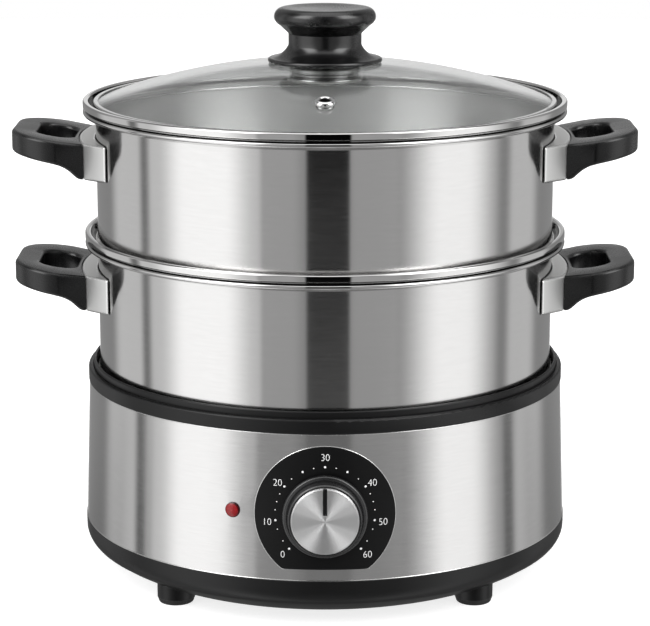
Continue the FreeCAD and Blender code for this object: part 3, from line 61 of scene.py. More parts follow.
# Each panel is (azimuth, half width, soft edge, brightness); later ones cover earlier ones.
PANELS = (
    (180, 48, 16, 0.28),                            # far end of the room
    (116, 13, 12, 0.62), (-113, 17, 12, 0.66),      # side fills
    (-64, 33, 3, 0.70),                             # flag's edge beside the left softbox
    (67, 20, 26, 1.20), (-62, 20, 17, 1.30),        # large softboxes
    (100, 3.5, 7, 0.28), (-101, 3, 5, 0.20),        # stands between softbox and fill
    (-22, 9, 6, 0.44), (24, 12, 4, 0.42),           # pale cards beside the screen
)
# Low in the room the panels in front of the pot lean, and the walls are in shade.
LOW_FADE = (-16, -20)
UPRIGHT_FROM = 95             # panels past this azimuth don't lean
LEAN_SPAN = (50.0, 95.0)      # azimuths over which the lean changes sides
LEAN_SCALE = (0.94, 1.06)
LOW_SHADE_SPAN = (25.0, 60.0)
LOW_SHADE = 0.64
LOW_FILL_SPAN = (106.0, 116.0)
LOW_FILL_SHADE = 0.68         # foot of the side fills
LOW_STAND = (100.0, 3.4, 3.0, 0.30)        # feet of the stands: as a panel, with their shade
# A dark screen stands round the lens, and a pale table in front of the pot.
SCREEN = (1.5, 10.5, 1.5)     # azimuth, half width and soft edge
SCREEN_LEVEL = 0.002
LOW_SCREEN_EDGE = 10.0
TABLE_FADE = (-11.0, -26.0)
TABLE_LEVEL = 0.27
TABLE_NEAR_FADE = (-32.0, -46.0)
TABLE_NEAR_LEVEL = 0.50
# The far end of the room, with a pale strip in its middle and a tall softbox over it. Here
# the side fades are in degrees from straight behind.
FAR_SIDE_FADE = (70.0, 40.0)
FAR_FOOT_FADE = (-2.0, 4.0)
FAR_LEVEL = 0.26
STRIP_SIDE_FADE = (15.0, 8.0)
STRIP_FOOT_FADE = (-24.0, -18.0)
STRIP_TOP_FADE = (19.0, 15.0)
STRIP_CHANGE = (8.0, 13.0)    # heights over which the strip dims
STRIP_LEVELS = (0.80, 0.36)
FAR_BOX_FADE = (17.0, 24.0)
FAR_BOX_LEVEL = 0.36
# Above the walls: dim, with two high boxes in front and one overhead.
WALL_TOP_FADE = (26, 42)
DIM_LEVEL = 0.12
HIGH_BOXES = ((-57, 20, 16), (59, 20, 16))
HIGH_FOOT_FADE = (14, 30)
HIGH_TOP_FADE = (70, 62)
HIGH_LEVEL = 4.8
OVERHEAD_FADE = (52, 64)
OVERHEAD_LEVEL = 1.5
# A lamp in front for matt surfaces, and the floor.
FILL_PLACE = Vector((0, -2.2, 1.7))
FILL_AIM = Vector((0, 0, 0.1))
FILL_SIZE = (1.6, 0.8)
FILL_POWER = 20.0
FLOOR_COLOUR = (0.55, 0.55, 0.55, 1)
FLOOR_GLOW = 0.80
FLOOR_SIZE = 6.0

# ---- Sizes, read from the frame or as the part's source has them ---------------------------
plate_low, plate_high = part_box("dial_plate")
knob_low, knob_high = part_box("timer_knob")
band_low, band_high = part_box("base_housing_band")
lens_low, lens_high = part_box("lamp_lens")
LENS_R = (lens_high.z - lens_low.z) / 2
DIAL_Z = (knob_low.z + knob_high.z) / 2
PLATE_R = plate_high.x
PLATE_FLAT = DIAL_Z - plate_low.z
PLATE_CORNER = 4.0 * MM
PLATE_SKIN = 0.65 * MM        # dial plate's face in front of the band
BAND_LOW_R = band_high.x
BAND_SLOPE = 3.0 / 84.0       # the band narrows upwards by this much
SKIRT_T = 2.9 * MM            # timer knob's skirt, front to back
RIM_OUT = 7.5 * MM            # rim of a tier past its wall
TIER_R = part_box("lower_tier_pan")[1].x - RIM_OUT
LEDGE_DROP = 6.3 * MM         # ledge inside a tier, below its rim
GLASS_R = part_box("lid_glass")[1].x
DOME_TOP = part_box("lid_glass")[1].z
DOME_RISE = 23.95 * MM
DOME_R = (GLASS_R ** 2 + DOME_RISE ** 2) / (2 * DOME_RISE)
VENT_IN = 38.6 * MM           # vent's place in from the glass's edge
VENT_OUT = GLASS_R - VENT_IN
VENT_LEAN = math.asin(VENT_OUT / DOME_R)
VENT_BORE_R = 2.9 * MM

# Thin trim and print that the scene adds.
NUMERAL_H = 4.0 * MM
NUMERAL_NARROW = 0.92
NUMERAL_THIN = 0.10 * MM      # taken off all round each stroke
DIGIT_HEIGHT = 0.70           # of the font's size
CURVE_STEPS = 6
PRINT_T = 0.04 * MM
# (minutes, place of the numeral's centre from the dial's centre, in millimetres)
NUMERALS = (
    ("0", -23.5, -22.8), ("10", -32.2, -4.6), ("20", -26.2, 18.1), ("30", 0.2, 32.9),
    ("40", 26.2, 18.1), ("50", 32.2, -4.6), ("60", 23.6, -22.8),
)
DOT_PITCH_R = 27.7 * MM
DOT_SIDES = 16
# (radius, degrees from the top on both sides)
DOTS = (
    (0.62 * MM, (0, 26.5, 54, 96.8, 134)),
    (0.33 * MM, (13, 41.7, 64.5, 74.5, 84.5, 107.5, 122.6)),
)
TRIM_R = 0.24 * MM
TRIM_OUT = 0.7                # of its radius, past the plate's edge
TRIM_LIFT = 0.1 * MM          # in front of the band
ARC_STEPS = 120
CORNER_STEPS = 13
# Sloping rim of the knob's skirt: (inwards from its edge, behind its face), in millimetres
SKIRT_RIM = (
    (0, 1.5), (0.15, 0.9), (0.8, 0.3), (1.7, -0.15), (2.5, -0.35), (2.9, -0.2), (3.0, 0.1),
    (1.7, 0.3),
)
SKIRT_RIM_OUT = 0.02 * MM     # past the knob's edge
SKIRT_RIM_SIDES = 192
BEAD_SIDES = 10
BEAD_STEPS = 360
STOP_BEAD_T = 0.9 * MM        # bright bead below a tier's ledge, and its place
STOP_BEAD_IN = 1.0 * MM
STOP_BEAD_DROP = 3.4 * MM
FOLD_T = 0.3 * MM             # bright folded edges of the band


# ---- Node helpers --------------------------------------------------------------------------
ROUND_SAMPLES = 6
EDGE_SAMPLES = 4
CREVICE_SAMPLES = 6
CREVICE_SPAN = (0.15, 0.75)   # how open a point is: deep in a gap, and in the open
EDGE_SPAN = (0.985, 0.90)     # cosine of the rounded and the true normal: flat, and edge


class Tree:
    """Short calls for building a node tree."""

    def __init__(self, tree):
        self.tree = tree
        self.tree.nodes.clear()

    def add(self, kind, **values):
        node = self.tree.nodes.new(kind)
        for key, value in values.items():
            setattr(node, key, value)
        return node

    def link(self, output, target):
        self.tree.links.new(output, target)

    def put(self, value, socket):
        """A number or colour is set on the socket; another node's output is linked to it."""
        if isinstance(value, bpy.types.NodeSocket):
            self.link(value, socket)
        else:
            socket.default_value = value

    def math(self, operation, a, b=0.0, clamp=False):
        node = self.add("ShaderNodeMath", operation=operation, use_clamp=clamp)
        self.put(a, node.inputs[0])
        self.put(b, node.inputs[1])
        return node.outputs[0]

    def plus(self, a, b, clamp=False):
        return self.math("ADD", a, b, clamp)

    def minus(self, a, b):
        return self.math("SUBTRACT", a, b)

    def times(self, a, b):
        return self.math("MULTIPLY", a, b)

    def length(self, a, b):
        return self.math("SQRT", self.plus(self.times(a, a), self.times(b, b)))

    def remap(self, value, span, to=(0.0, 1.0), smooth=False):
        """Carries a span of values over to another, and holds its ends outside."""
        kind = "SMOOTHSTEP" if smooth else "LINEAR"
        node = self.add("ShaderNodeMapRange", interpolation_type=kind)
        names = ("Value", "From Min", "From Max", "To Min", "To Max")
        for source, name in zip((value, *span, *to), names):
            self.put(source, node.inputs[name])
        return node.outputs["Result"]

    def fade(self, value, span, to=(0.0, 1.0)):
        return self.remap(value, span, to, smooth=True)

    def apart(self, angle, centre):
        return self.math("ABSOLUTE", self.minus(angle, float(centre)))

    def within(self, away, half, soft):
        """1 nearer than the half width and 0 past it, over a soft edge."""
        return self.fade(away, (half + soft / 2, half - soft / 2))

    def mix(self, factor, a, b):
        node = self.add("ShaderNodeMix", data_type="FLOAT")
        self.put(factor, node.inputs[0])
        self.put(a, node.inputs[2])
        self.put(b, node.inputs[3])
        return node.outputs[0]

    def mix_colour(self, factor, a, b):
        node = self.add("ShaderNodeMix", data_type="RGBA")
        self.put(factor, node.inputs[0])
        self.put(a, node.inputs[6])
        self.put(b, node.inputs[7])
        return node.outputs[2]

    def noise(self, vector, scale, detail=2.0, rough=0.5):
        node = self.add("ShaderNodeTexNoise")
        self.put(vector, node.inputs["Vector"])
        node.inputs["Scale"].default_value = scale
        node.inputs["Detail"].default_value = detail
        node.inputs["Roughness"].default_value = rough
        return node.outputs["Fac"]

    def parts(self, vector):
        node = self.add("ShaderNodeSeparateXYZ")
        self.link(vector, node.inputs[0])
        return node.outputs

    def vector(self, x, y, z):
        node = self.add("ShaderNodeCombineXYZ")
        for value, socket in zip((x, y, z), node.inputs):
            self.put(value, socket)
        return node.outputs[0]

    def vector_math(self, operation, a, b=(0, 0, 0)):
        node = self.add("ShaderNodeVectorMath", operation=operation)
        self.put(a, node.inputs[0])
        self.put(b, node.inputs[1])
        return node.outputs["Value" if operation == "DOT_PRODUCT" else "Vector"]


class Material(Tree):
    """A Principled material whose values the caller sets one by one."""

    def __init__(self, name):
        self.material = bpy.data.materials.new(name)
        self.material.use_nodes = True
        super().__init__(self.material.node_tree)
        self.shader = self.add("ShaderNodeBsdfPrincipled")
        end = self.add("ShaderNodeOutputMaterial")
        self.link(self.shader.outputs["BSDF"], end.inputs["Surface"])
        self.place = self.add("ShaderNodeTexCoord").outputs["Object"]

    def set(self, **values):
        for name, value in values.items():
            self.put(value, self.shader.inputs[name.replace("_", " ")])

    def bevel(self, radius, samples):
        """The normal, rounded over the edges."""
        node = self.add("ShaderNodeBevel", samples=samples)
        node.inputs["Radius"].default_value = radius
        return node.outputs[0]

    def bump(self, height, strength, distance, rounded=0.0):
        node = self.add("ShaderNodeBump")
        if rounded:
            self.link(self.bevel(rounded, ROUND_SAMPLES), node.inputs["Normal"])
        node.inputs["Strength"].default_value = strength
        node.inputs["Distance"].default_value = distance
        self.link(height, node.inputs["Height"])
        self.set(Normal=node.outputs[0])

    def crevice_shade(self, reach, darkest):
        """Painted shade: 1 in the open, down to darkest in narrow gaps and grooves, where shade
        falls.
        """
        node = self.add("ShaderNodeAmbientOcclusion", samples=CREVICE_SAMPLES)
        node.inputs["Distance"].default_value = reach
        return self.fade(node.outputs["AO"], CREVICE_SPAN, (darkest, 1.0))

    def sharp_edges(self, radius):
        """1 on sharp edges and 0 on flats."""
        normal = self.add("ShaderNodeNewGeometry").outputs["Normal"]
        level = self.vector_math("DOT_PRODUCT", self.bevel(radius, EDGE_SAMPLES), normal)
        return self.remap(level, EDGE_SPAN)

    def brushed_round(self, axis):
        """Reflections stay sharp along the brush lines round an axis, and smear across them."""
        tangent = self.add("ShaderNodeTangent", direction_type="RADIAL", axis=axis)
        self.set(Anisotropic=0.95, Anisotropic_Rotation=0.25, Tangent=tangent.outputs[0])


# ---- Materials -----------------------------------------------------------------------------
BLACK = (0, 0, 0, 1)
GRAIN = (0.30, 0.70)          # most of a fine noise's values
SPECKLE = (0.35, 0.65)
CLOUD = (0.35, 0.70)          # and of a coarse one's
HAIR = (0.4, 0.7)
HAIR_ROUGH = (0.0, 0.03)      # what hairlines add to the roughness of a polish
PALE_EDGE_STEEL = (0.95, 0.95, 0.94, 1)
PALE_EDGE_SATIN = (0.97, 0.97, 0.96, 1)
WORN_SATIN_ROUGH = 0.14
BORE_ROUGH = 0.5
FINE_RELIEF = 0.03 * MM       # depth of brush lines and hairlines
FINE_ARC = 0.35               # the fine brush lines' arc, of the coarse ones'
SHEET_COLOUR = (0.70, 0.695, 0.69)
INNER_COLOUR = (0.86, 0.86, 0.855, 1)
INNER_ROUGH = 0.44
RIM_ROUGH = (0.045, 0.065)
BRUSH_SPREAD = 0.02           # how far brush lines move the roughness
SMUDGE_SPREAD = (-0.01, 0.015)


def opaque(colour, gain=1.0, lift=0.0):
    """A colour with full alpha, made brighter by a factor or a step."""
    return tuple(min(1.0, c * gain + lift) for c in colour) + (1.0,)


def grey(level):
    return (level, level, level, 1)


def turned_grain(m, coarse=900.0, fine=5200.0, arc=0.012, axis="Z", centre=(0, 0, 0)):
    """Brush lines that run round an axis: two noises, long round it and short along it. The
    arc is how far the noise runs in a radian."""
    x, y, z = m.parts(m.vector_math("SUBTRACT", m.place, centre))
    along, side = (z, y) if axis == "Z" else (y, z)
    radius = m.length(x, side)
    wide = m.times(m.math("ARCTAN2", side, x), arc)
    first = m.noise(m.vector(wide, along, radius), coarse, detail=3.0, rough=0.6)
    second = m.noise(m.vector(m.times(wide, FINE_ARC), along, radius), fine)
    return first, second


def halves(m, first, second):
    return m.plus(m.times(first, 0.5), m.times(second, 0.5))


def brushed_steel(name, rough, wall_r=None, lean=0.0):
    """Sheet brushed round the pot: reflections stay sharp sideways and smear up and down.
    Outside the radius wall_r the metal is rolled and polished, and inside it is matt. A lean
    tilts the normal down or up."""
    m = Material(name)
    grain = halves(m, *turned_grain(m))
    cloud = m.noise(m.place, scale=9.0, detail=3.0)
    lines = m.remap(grain, GRAIN, (-BRUSH_SPREAD, BRUSH_SPREAD))
    smudge = m.remap(cloud, (0.35, 0.75), SMUDGE_SPREAD)
    surface = m.plus(m.plus(lines, smudge), rough, clamp=True)
    dark, pale = opaque(SHEET_COLOUR, gain=0.965), opaque(SHEET_COLOUR, gain=1.025)
    tint = m.mix_colour(m.remap(grain, GRAIN), dark, pale)
    if wall_r:
        x, y, z = m.parts(m.place)
        radius = m.length(x, y)
        polished = m.remap(radius, (wall_r + 1.0 * MM, wall_r + 1.4 * MM))
        rolled = m.remap(radius, (wall_r + 0.1 * MM, wall_r + 0.5 * MM))
        inner = m.remap(radius, (wall_r - 0.3 * MM, wall_r - 0.5 * MM))
        surface = m.mix(polished, surface, m.remap(smudge, SMUDGE_SPREAD, RIM_ROUGH))
        surface = m.mix(inner, surface, m.plus(lines, INNER_ROUGH))
        tint = m.mix_colour(inner, tint, INNER_COLOUR)
        # Painted shade: on the rolled rim the colour goes to black in narrow gaps and grooves.
        tint = m.mix_colour(m.mix(rolled, 1.0, m.crevice_shade(3.5 * MM, darkest=0.06)), BLACK, tint)
    m.set(Base_Color=tint, Metallic=1.0, Roughness=surface)
    m.brushed_round("Z")
    m.bump(grain, strength=0.02, distance=FINE_RELIEF)
    if lean:
        bumped = m.shader.inputs["Normal"].links[0].from_socket
        m.set(Normal=m.vector_math("NORMALIZE", m.vector_math("ADD", bumped, (0, 0, lean))))
    return m.material


def polished_steel(name, colour, rough):
    m = Material(name)
    cloud = m.noise(m.place, scale=60.0, detail=4.0, rough=0.6)
    hair = m.noise(m.place, scale=1400.0)
    pale_edge = m.sharp_edges(0.5 * MM)
    uneven = m.plus(rough, m.remap(cloud, CLOUD, (0.0, 0.06)))
    # The colour is paler on sharp edges.
    m.set(Base_Color=m.mix_colour(pale_edge, opaque(colour), PALE_EDGE_STEEL), Metallic=1.0)
    m.set(Roughness=m.plus(uneven, m.remap(hair, HAIR, HAIR_ROUGH), clamp=True))
    m.bump(hair, strength=0.05, distance=FINE_RELIEF)
    return m.material


def satin_steel(name, colour, rough):
    """Blasted faces with polished edges, painted paler as highlight lines, and painted shade in
    the seams.
    """
    m = Material(name)
    grain = m.noise(m.place, scale=1500.0)
    pale_edge = m.sharp_edges(1.6 * MM)
    # Painted highlight: the polished edges are paler, as bright lines along each fold.
    tint = m.mix_colour(pale_edge, opaque(colour), PALE_EDGE_SATIN)
    face = m.plus(rough, m.remap(grain, SPECKLE, (-0.03, 0.03)))
    # Painted shade: the colour goes to black in narrow seams and gaps.
    m.set(Base_Color=m.mix_colour(m.crevice_shade(1.6 * MM, darkest=0.03), BLACK, tint))
    m.set(Metallic=1.0, Roughness=m.mix(pale_edge, face, WORN_SATIN_ROUGH))
    m.bump(grain, strength=0.015, distance=FINE_RELIEF, rounded=1.3 * MM)
    return m.material


def spun_aluminium(name, centre):
    """A face cut on a lathe: rings about the knob's axis, so light gathers in wedges. Its left
    and right wedges are painted darker in the colour, a painted shade."""
    m = Material(name)
    grain = halves(m, *turned_grain(m, 2600.0, 9000.0, 0.01, "Y", centre))
    tint = m.mix_colour(m.remap(grain, GRAIN), grey(0.90), grey(0.98))
    # Painted shade: the colour darkens to grey where a point lies left or right of the centre.
    x, y, z = m.parts(m.place)
    z = m.minus(z, centre[2])
    across = m.times(x, x)
    level = m.math("DIVIDE", across, m.plus(across, m.times(z, z)))
    m.set(Base_Color=m.mix_colour(m.fade(level, (0.84, 1.0)), tint, grey(0.70)))
    m.set(Metallic=1.0, Roughness=m.remap(grain, GRAIN, (0.44, 0.50)))
    m.brushed_round("Y")
    m.bump(grain, strength=0.03, distance=FINE_RELIEF)
    return m.material


def turned_steel(name, colour, rough):
    """Bright steel off the lathe, with painted shade darkening its grooves."""
    m = Material(name)
    first, second = turned_grain(m, 1500.0, 6000.0, 0.01)
    # Painted shade: the colour goes to black in its grooves.
    m.set(Base_Color=m.mix_colour(m.crevice_shade(4 * MM, darkest=0.08), BLACK, opaque(colour)))
    m.set(Metallic=1.0, Roughness=m.plus(rough, m.remap(first, GRAIN, (-0.03, 0.03))))
    m.bump(second, strength=0.03, distance=FINE_RELIEF)
    return m.material


def eyelet_steel(name, colour, rough, centre, lean, bore):
    """Polished outside; dull in its bore, with painted shade making the bore dark."""
    m = Material(name)
    hair = m.noise(m.place, scale=1400.0)
    mapping = m.add("ShaderNodeMapping", vector_type="TEXTURE")
    m.link(m.place, mapping.inputs["Vector"])
    mapping.inputs["Location"].default_value = centre
    mapping.inputs["Rotation"].default_value = (lean, 0, 0)
    x, y, z = m.parts(mapping.outputs[0])
    bore_dull_and_shade = m.remap(m.length(x, y), (bore + 0.5 * MM, bore + 0.15 * MM))
    outside = m.plus(rough, m.remap(hair, HAIR, HAIR_ROUGH))
    # Painted shade: the bore's colour is near black.
    m.set(Base_Color=m.mix_colour(bore_dull_and_shade, opaque(colour), grey(0.03)))
    m.set(Metallic=1.0, Roughness=m.mix(bore_dull_and_shade, outside, BORE_ROUGH))
    m.bump(hair, strength=0.05, distance=FINE_RELIEF)
    return m.material


def cast_aluminium(name):
    m = Material(name)
    grain = m.noise(m.place, scale=900.0, detail=4.0, rough=0.65)
    m.set(Base_Color=m.mix_colour(grain, (0.55, 0.55, 0.56, 1), grey(0.74)))
    m.set(Metallic=1.0, Roughness=m.remap(grain, GRAIN, (0.36, 0.56)))
    m.bump(grain, strength=0.25, distance=0.1 * MM)
    return m.material


def moulded(name, level, rough, blue=0.0, speckle=2600.0, relief=0.14, wear_and_highlight=0.02, specular=0.5):
    """Moulded plastic in a grey, with its blue off by a little: fine spark-eroded texture,
    soft uneven sheen, slightly paler edges, partly wear and partly painted highlight lines."""
    m = Material(name)
    colour = (level, level, level + blue)
    grain = m.noise(m.place, speckle, rough=0.55)
    cloud = m.noise(m.place, scale=28.0, detail=3.0, rough=0.55)
    pale_edge = m.times(m.sharp_edges(0.7 * MM), m.remap(cloud, (0.4, 0.7), (0.2, 1.0)))
    pale = opaque(colour, gain=1.35)
    tint = m.mix_colour(m.remap(grain, SPECKLE, (0.0, 0.35)), opaque(colour), pale)
    sheen = m.remap(cloud, CLOUD, (-0.04, 0.05))
    uneven = m.plus(sheen, m.remap(grain, SPECKLE, (-0.03, 0.03)))
    # Painted highlight: sharp edges are lifted paler, in part wear and in part light lines
    # along them.
    m.set(Base_Color=m.mix_colour(pale_edge, tint, opaque(colour, lift=wear_and_highlight)))
    m.set(Roughness=m.plus(uneven, rough, clamp=True), Specular_IOR_Level=specular)
    m.bump(grain, strength=relief, distance=0.05 * MM)
    return m.material


def clear_glass(name):
    m = Material(name)
    haze = m.noise(m.place, scale=35.0, detail=3.0)
    m.set(Base_Color=(0.95, 0.96, 0.955, 1), Transmission_Weight=1.0, IOR=1.47)
    m.set(Roughness=m.remap(haze, (0.5, 0.8), (0.0, 0.02)))
    return m.material


def lamp_red(name):
    """A red lens with painted shade, darker towards its rim."""
    m = Material(name)
    streak = m.noise(m.place, scale=700.0)
    red = m.mix_colour(streak, (0.20, 0.003, 0.005, 1), (0.30, 0.007, 0.010, 1))
    x, y, z = m.parts(m.place)
    middle = (lens_low + lens_high) / 2
    turn = math.atan2(middle.x, -middle.y)
    across = m.plus(m.times(x, math.cos(turn)), m.times(y, math.sin(turn)))
    out = m.length(across, m.minus(z, middle.z))
    # Painted shade: the colour goes dark near the lens's rim.
    rim_shade = m.fade(out, (LENS_R * 0.80, LENS_R * 0.96), (0.0, 0.9))
    m.set(Base_Color=m.mix_colour(rim_shade, red, (0.012, 0.001, 0.001, 1)))
    m.set(Roughness=0.26, Specular_IOR_Level=0.4, Coat_Weight=0.25, Coat_Roughness=0.05)
    m.set(Subsurface_Weight=0.15, Subsurface_Scale=2 * MM)
    m.bump(streak, strength=0.05, distance=0.05 * MM)
    return m.material


def print_white(name):
    m = Material(name)
    grain = m.noise(m.place, scale=4000.0)
    m.set(Base_Color=m.mix_colour(grain, grey(0.88), grey(0.98)))
    m.set(Roughness=m.remap(grain, GRAIN, (0.4, 0.55)))
    m.bump(grain, strength=0.05, distance=0.02 * MM)
    return m.material


MATERIALS = {
    "brushed_steel": brushed_steel("brushed_steel", rough=0.14, wall_r=TIER_R),
    "polished_steel": polished_steel("polished_steel", (0.72, 0.72, 0.715), rough=0.08),
    "screw_steel": polished_steel("screw_steel", (0.56, 0.56, 0.55), rough=0.26),
    "black_plastic": moulded("black_plastic", 0.003, rough=0.34, blue=0.0002,
                             relief=0.06, wear_and_highlight=0.045, specular=0.35),
    "phenolic": moulded("phenolic", 0.003, rough=0.28, blue=0.0002,
                        speckle=1900.0, relief=0.05, wear_and_highlight=0.02, specular=0.55),
    "dial_black": moulded("dial_black", 0.0025, rough=0.38, blue=0.0002,
                          speckle=5200.0, relief=0.03, wear_and_highlight=0.01, specular=0.30),
    "white_plastic": moulded("white_plastic", 0.72, rough=0.42, blue=-0.02, wear_and_highlight=0.0),
    "rubber": moulded("rubber", 0.012, rough=0.62, speckle=1500.0, relief=0.30),
    "aluminium": cast_aluminium("aluminium"),
    "glass": clear_glass("glass"),
    "lamp_red": lamp_red("lamp_red"),
}
VENT_CENTRE = (0, -VENT_OUT, DOME_TOP - DOME_R * (1 - math.cos(VENT_LEAN)))
SPECIAL = {
    "timer_knob_face": spun_aluminium("spun_aluminium", (0, 0, DIAL_Z)),
    "base_housing_band": brushed_steel("brushed_band", rough=0.145, lean=-0.08),
    "lid_vent_eyelet": eyelet_steel("eyelet_steel", (0.76, 0.76, 0.755), 0.08,
                                    VENT_CENTRE, VENT_LEAN, VENT_BORE_R),
    "lid_knob": moulded("gloss_phenolic", 0.003, rough=0.25, blue=0.0002,
                        speckle=1900.0, relief=0.02, wear_and_highlight=0.02, specular=0.7),
    "timer_knob": moulded("knob_black", 0.008, rough=0.29, blue=0.0005,
                          speckle=3200.0, relief=0.03, wear_and_highlight=0.05, specular=0.85),
    "lid_knob_boss": turned_steel("turned_steel", (0.80, 0.80, 0.79), rough=0.20),
}
SATIN = satin_steel("satin_steel", (0.80, 0.80, 0.79), rough=0.34)
for tier in TIERS:
    for side in SIDES:
        SPECIAL[tier + "_" + side + "_bracket"] = SATIN
PRINT = print_white("dial_print")


# ---- CAD nodes: smooth where they are round, and dressed -----------------------------------
WELD = 2e-6
SMOOTH_ANGLE = math.radians(32)


def smoothing_group():
    """Joins the facets' corners and shades them smooth up to an angle."""
    group = bpy.data.node_groups.new("smooth_round_faces", "GeometryNodeTree")
    for way in ("INPUT", "OUTPUT"):
        group.interface.new_socket("Geometry", in_out=way, socket_type="NodeSocketGeometry")
    add = group.nodes.new
    start = add("NodeGroupInput")
    weld = add("GeometryNodeMergeByDistance")
    weld.inputs["Distance"].default_value = WELD
    faces = add("GeometryNodeSetShadeSmooth")
    edges = add("GeometryNodeSetShadeSmooth")
    edges.domain = "EDGE"
    edge_angle = add("GeometryNodeInputMeshEdgeAngle")
    compare = add("FunctionNodeCompare")
    compare.operation = "LESS_THAN"
    compare.inputs["B"].default_value = SMOOTH_ANGLE
    end = add("NodeGroupOutput")
    link = group.links.new
    link(start.outputs[0], weld.inputs["Geometry"])
    link(weld.outputs[0], faces.inputs["Geometry"])
    link(faces.outputs[0], edges.inputs["Geometry"])
    link(edge_angle.outputs["Unsigned Angle"], compare.inputs["A"])
    link(compare.outputs[0], edges.inputs["Shade Smooth"])
    link(edges.outputs[0], end.inputs[0])
    return group


SMOOTH = smoothing_group()


def dress(node, material):
    target = NODES[node]
    if target.material_slots:
        for holder in target.material_slots:
            holder.material = material
    else:
        target.data.materials.append(material)
    target.modifiers.new("smooth", "NODES").node_group = SMOOTH


for part in frame["record"]["subparts"]:
    dress(part["node"], SPECIAL.get(part["node"], MATERIALS[part["material_slot"]]))


# ---- Pieces that only the looks need -------------------------------------------------------
def new_piece(name, mesh, material, body):
    piece = bpy.data.objects.new(name, mesh)
    bpy.context.scene.collection.objects.link(piece)
    mesh.materials.clear()
    mesh.materials.append(material)
    for polygon in mesh.polygons:
        polygon.use_smooth = True
    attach(piece, body)


def turns(count):
    return [2 * math.pi * i / count for i in range(count)]


def to_mesh(shape, name):
    mesh = bpy.data.meshes.new(name)
    shape.to_mesh(mesh)
    shape.free()
    return mesh


def ring_mesh(name, rings):
    """Closed rings of corners, each joined to the next and the last to the first."""
    shape = bmesh.new()
    loops = [[shape.verts.new(corner) for corner in ring] for ring in rings]
    for loop, after in zip(loops, loops[1:] + loops[:1]):
        for k in range(len(loop)):
            n = (k + 1) % len(loop)
            shape.faces.new((loop[k], after[k], after[n], loop[n]))
    bmesh.ops.recalc_face_normals(shape, faces=shape.faces)
    return to_mesh(shape, name)


def band_radius(z):
    return BAND_LOW_R - BAND_SLOPE * (z - band_low.z)


def on_plate(x, z, lift):
    """A point of the dial plate's face, or lift in front of it."""
    radius = band_radius(z) + PLATE_SKIN + lift
    return Vector((x, -math.sqrt(radius ** 2 - x ** 2), z))


def print_on_plate(shape, centre_x, centre_z, narrow=1.0):
    for vertex in shape.vertices:
        x = centre_x + vertex.co.x * narrow
        vertex.co = on_plate(x, centre_z + vertex.co.y, PRINT_T)


def text_mesh(text):
    """Flat numerals in the XY plane, centred on the origin."""
    curve = bpy.data.curves.new("numeral", "FONT")
    curve.body = text
    curve.size = NUMERAL_H / DIGIT_HEIGHT
    curve.align_x = "CENTER"
    curve.align_y = "CENTER"
    curve.resolution_u = CURVE_STEPS
    curve.offset = -NUMERAL_THIN
    holder = bpy.data.objects.new("numeral", curve)
    bpy.context.scene.collection.objects.link(holder)
    bpy.context.view_layer.update()
    filled = holder.evaluated_get(bpy.context.evaluated_depsgraph_get())
    mesh = bpy.data.meshes.new_from_object(filled)
    bpy.data.objects.remove(holder)
    return mesh


def dot_mesh(radius):
    shape = bmesh.new()
    bmesh.ops.create_circle(shape, cap_ends=True, segments=DOT_SIDES, radius=radius)
    return to_mesh(shape, "dot")


def dial_print():
    for text, x, z in NUMERALS:
        mesh = text_mesh(text)
        print_on_plate(mesh, x * MM, DIAL_Z + z * MM, NUMERAL_NARROW)
        new_piece("dial_numeral_" + text, mesh, PRINT, "base")
    joined = bmesh.new()
    for radius, angles in DOTS:
        for angle in sorted({a for value in angles for a in (value, -value)}):
            mesh = dot_mesh(radius)
            turn = math.radians(angle)
            x, z = DOT_PITCH_R * math.sin(turn), DOT_PITCH_R * math.cos(turn)
            print_on_plate(mesh, x, DIAL_Z + z)
            joined.from_mesh(mesh)
    new_piece("dial_dots", to_mesh(joined, "dial_dots"), PRINT, "base")


def plate_outline(out):
    """Places and outward directions round the dial plate, out by a distance: a disc cut flat
    below, with round corners."""
    in_x = math.sqrt((PLATE_R - PLATE_CORNER) ** 2 - (PLATE_FLAT - PLATE_CORNER) ** 2)
    in_z = PLATE_CORNER - PLATE_FLAT
    meets = math.atan2(in_z, in_x)
    swings = [(math.pi / 2 + meets) * i / CORNER_STEPS for i in range(1, CORNER_STEPS)]
    arc = [meets + (math.pi - 2 * meets) * i / ARC_STEPS for i in range(ARC_STEPS + 1)]
    places = [(0, 0, PLATE_R, turn) for turn in arc]
    places += [(-in_x, in_z, PLATE_CORNER, math.pi - meets + swing) for swing in swings]
    places += [(in_x, in_z, PLATE_CORNER, meets - swing) for swing in reversed(swings)]
    return [(x + (r + out) * math.cos(t), z + (r + out) * math.sin(t), math.cos(t), math.sin(t))
            for x, z, r, t in places]


def plate_trim():
    """The thin bright bead of steel round the dial plate."""
    rings = []
    for x, z, out_x, out_z in plate_outline(TRIM_R * TRIM_OUT):
        ring = []
        for turn in turns(BEAD_SIDES):
            across = TRIM_R * math.cos(turn)
            lift = TRIM_R * math.sin(turn) - PLATE_SKIN + TRIM_LIFT
            ring.append(on_plate(x + across * out_x, DIAL_Z + z + across * out_z, lift))
        rings.append(ring)
    mesh = ring_mesh("dial_plate_trim", rings)
    new_piece("dial_plate_trim", mesh, MATERIALS["polished_steel"], "base")


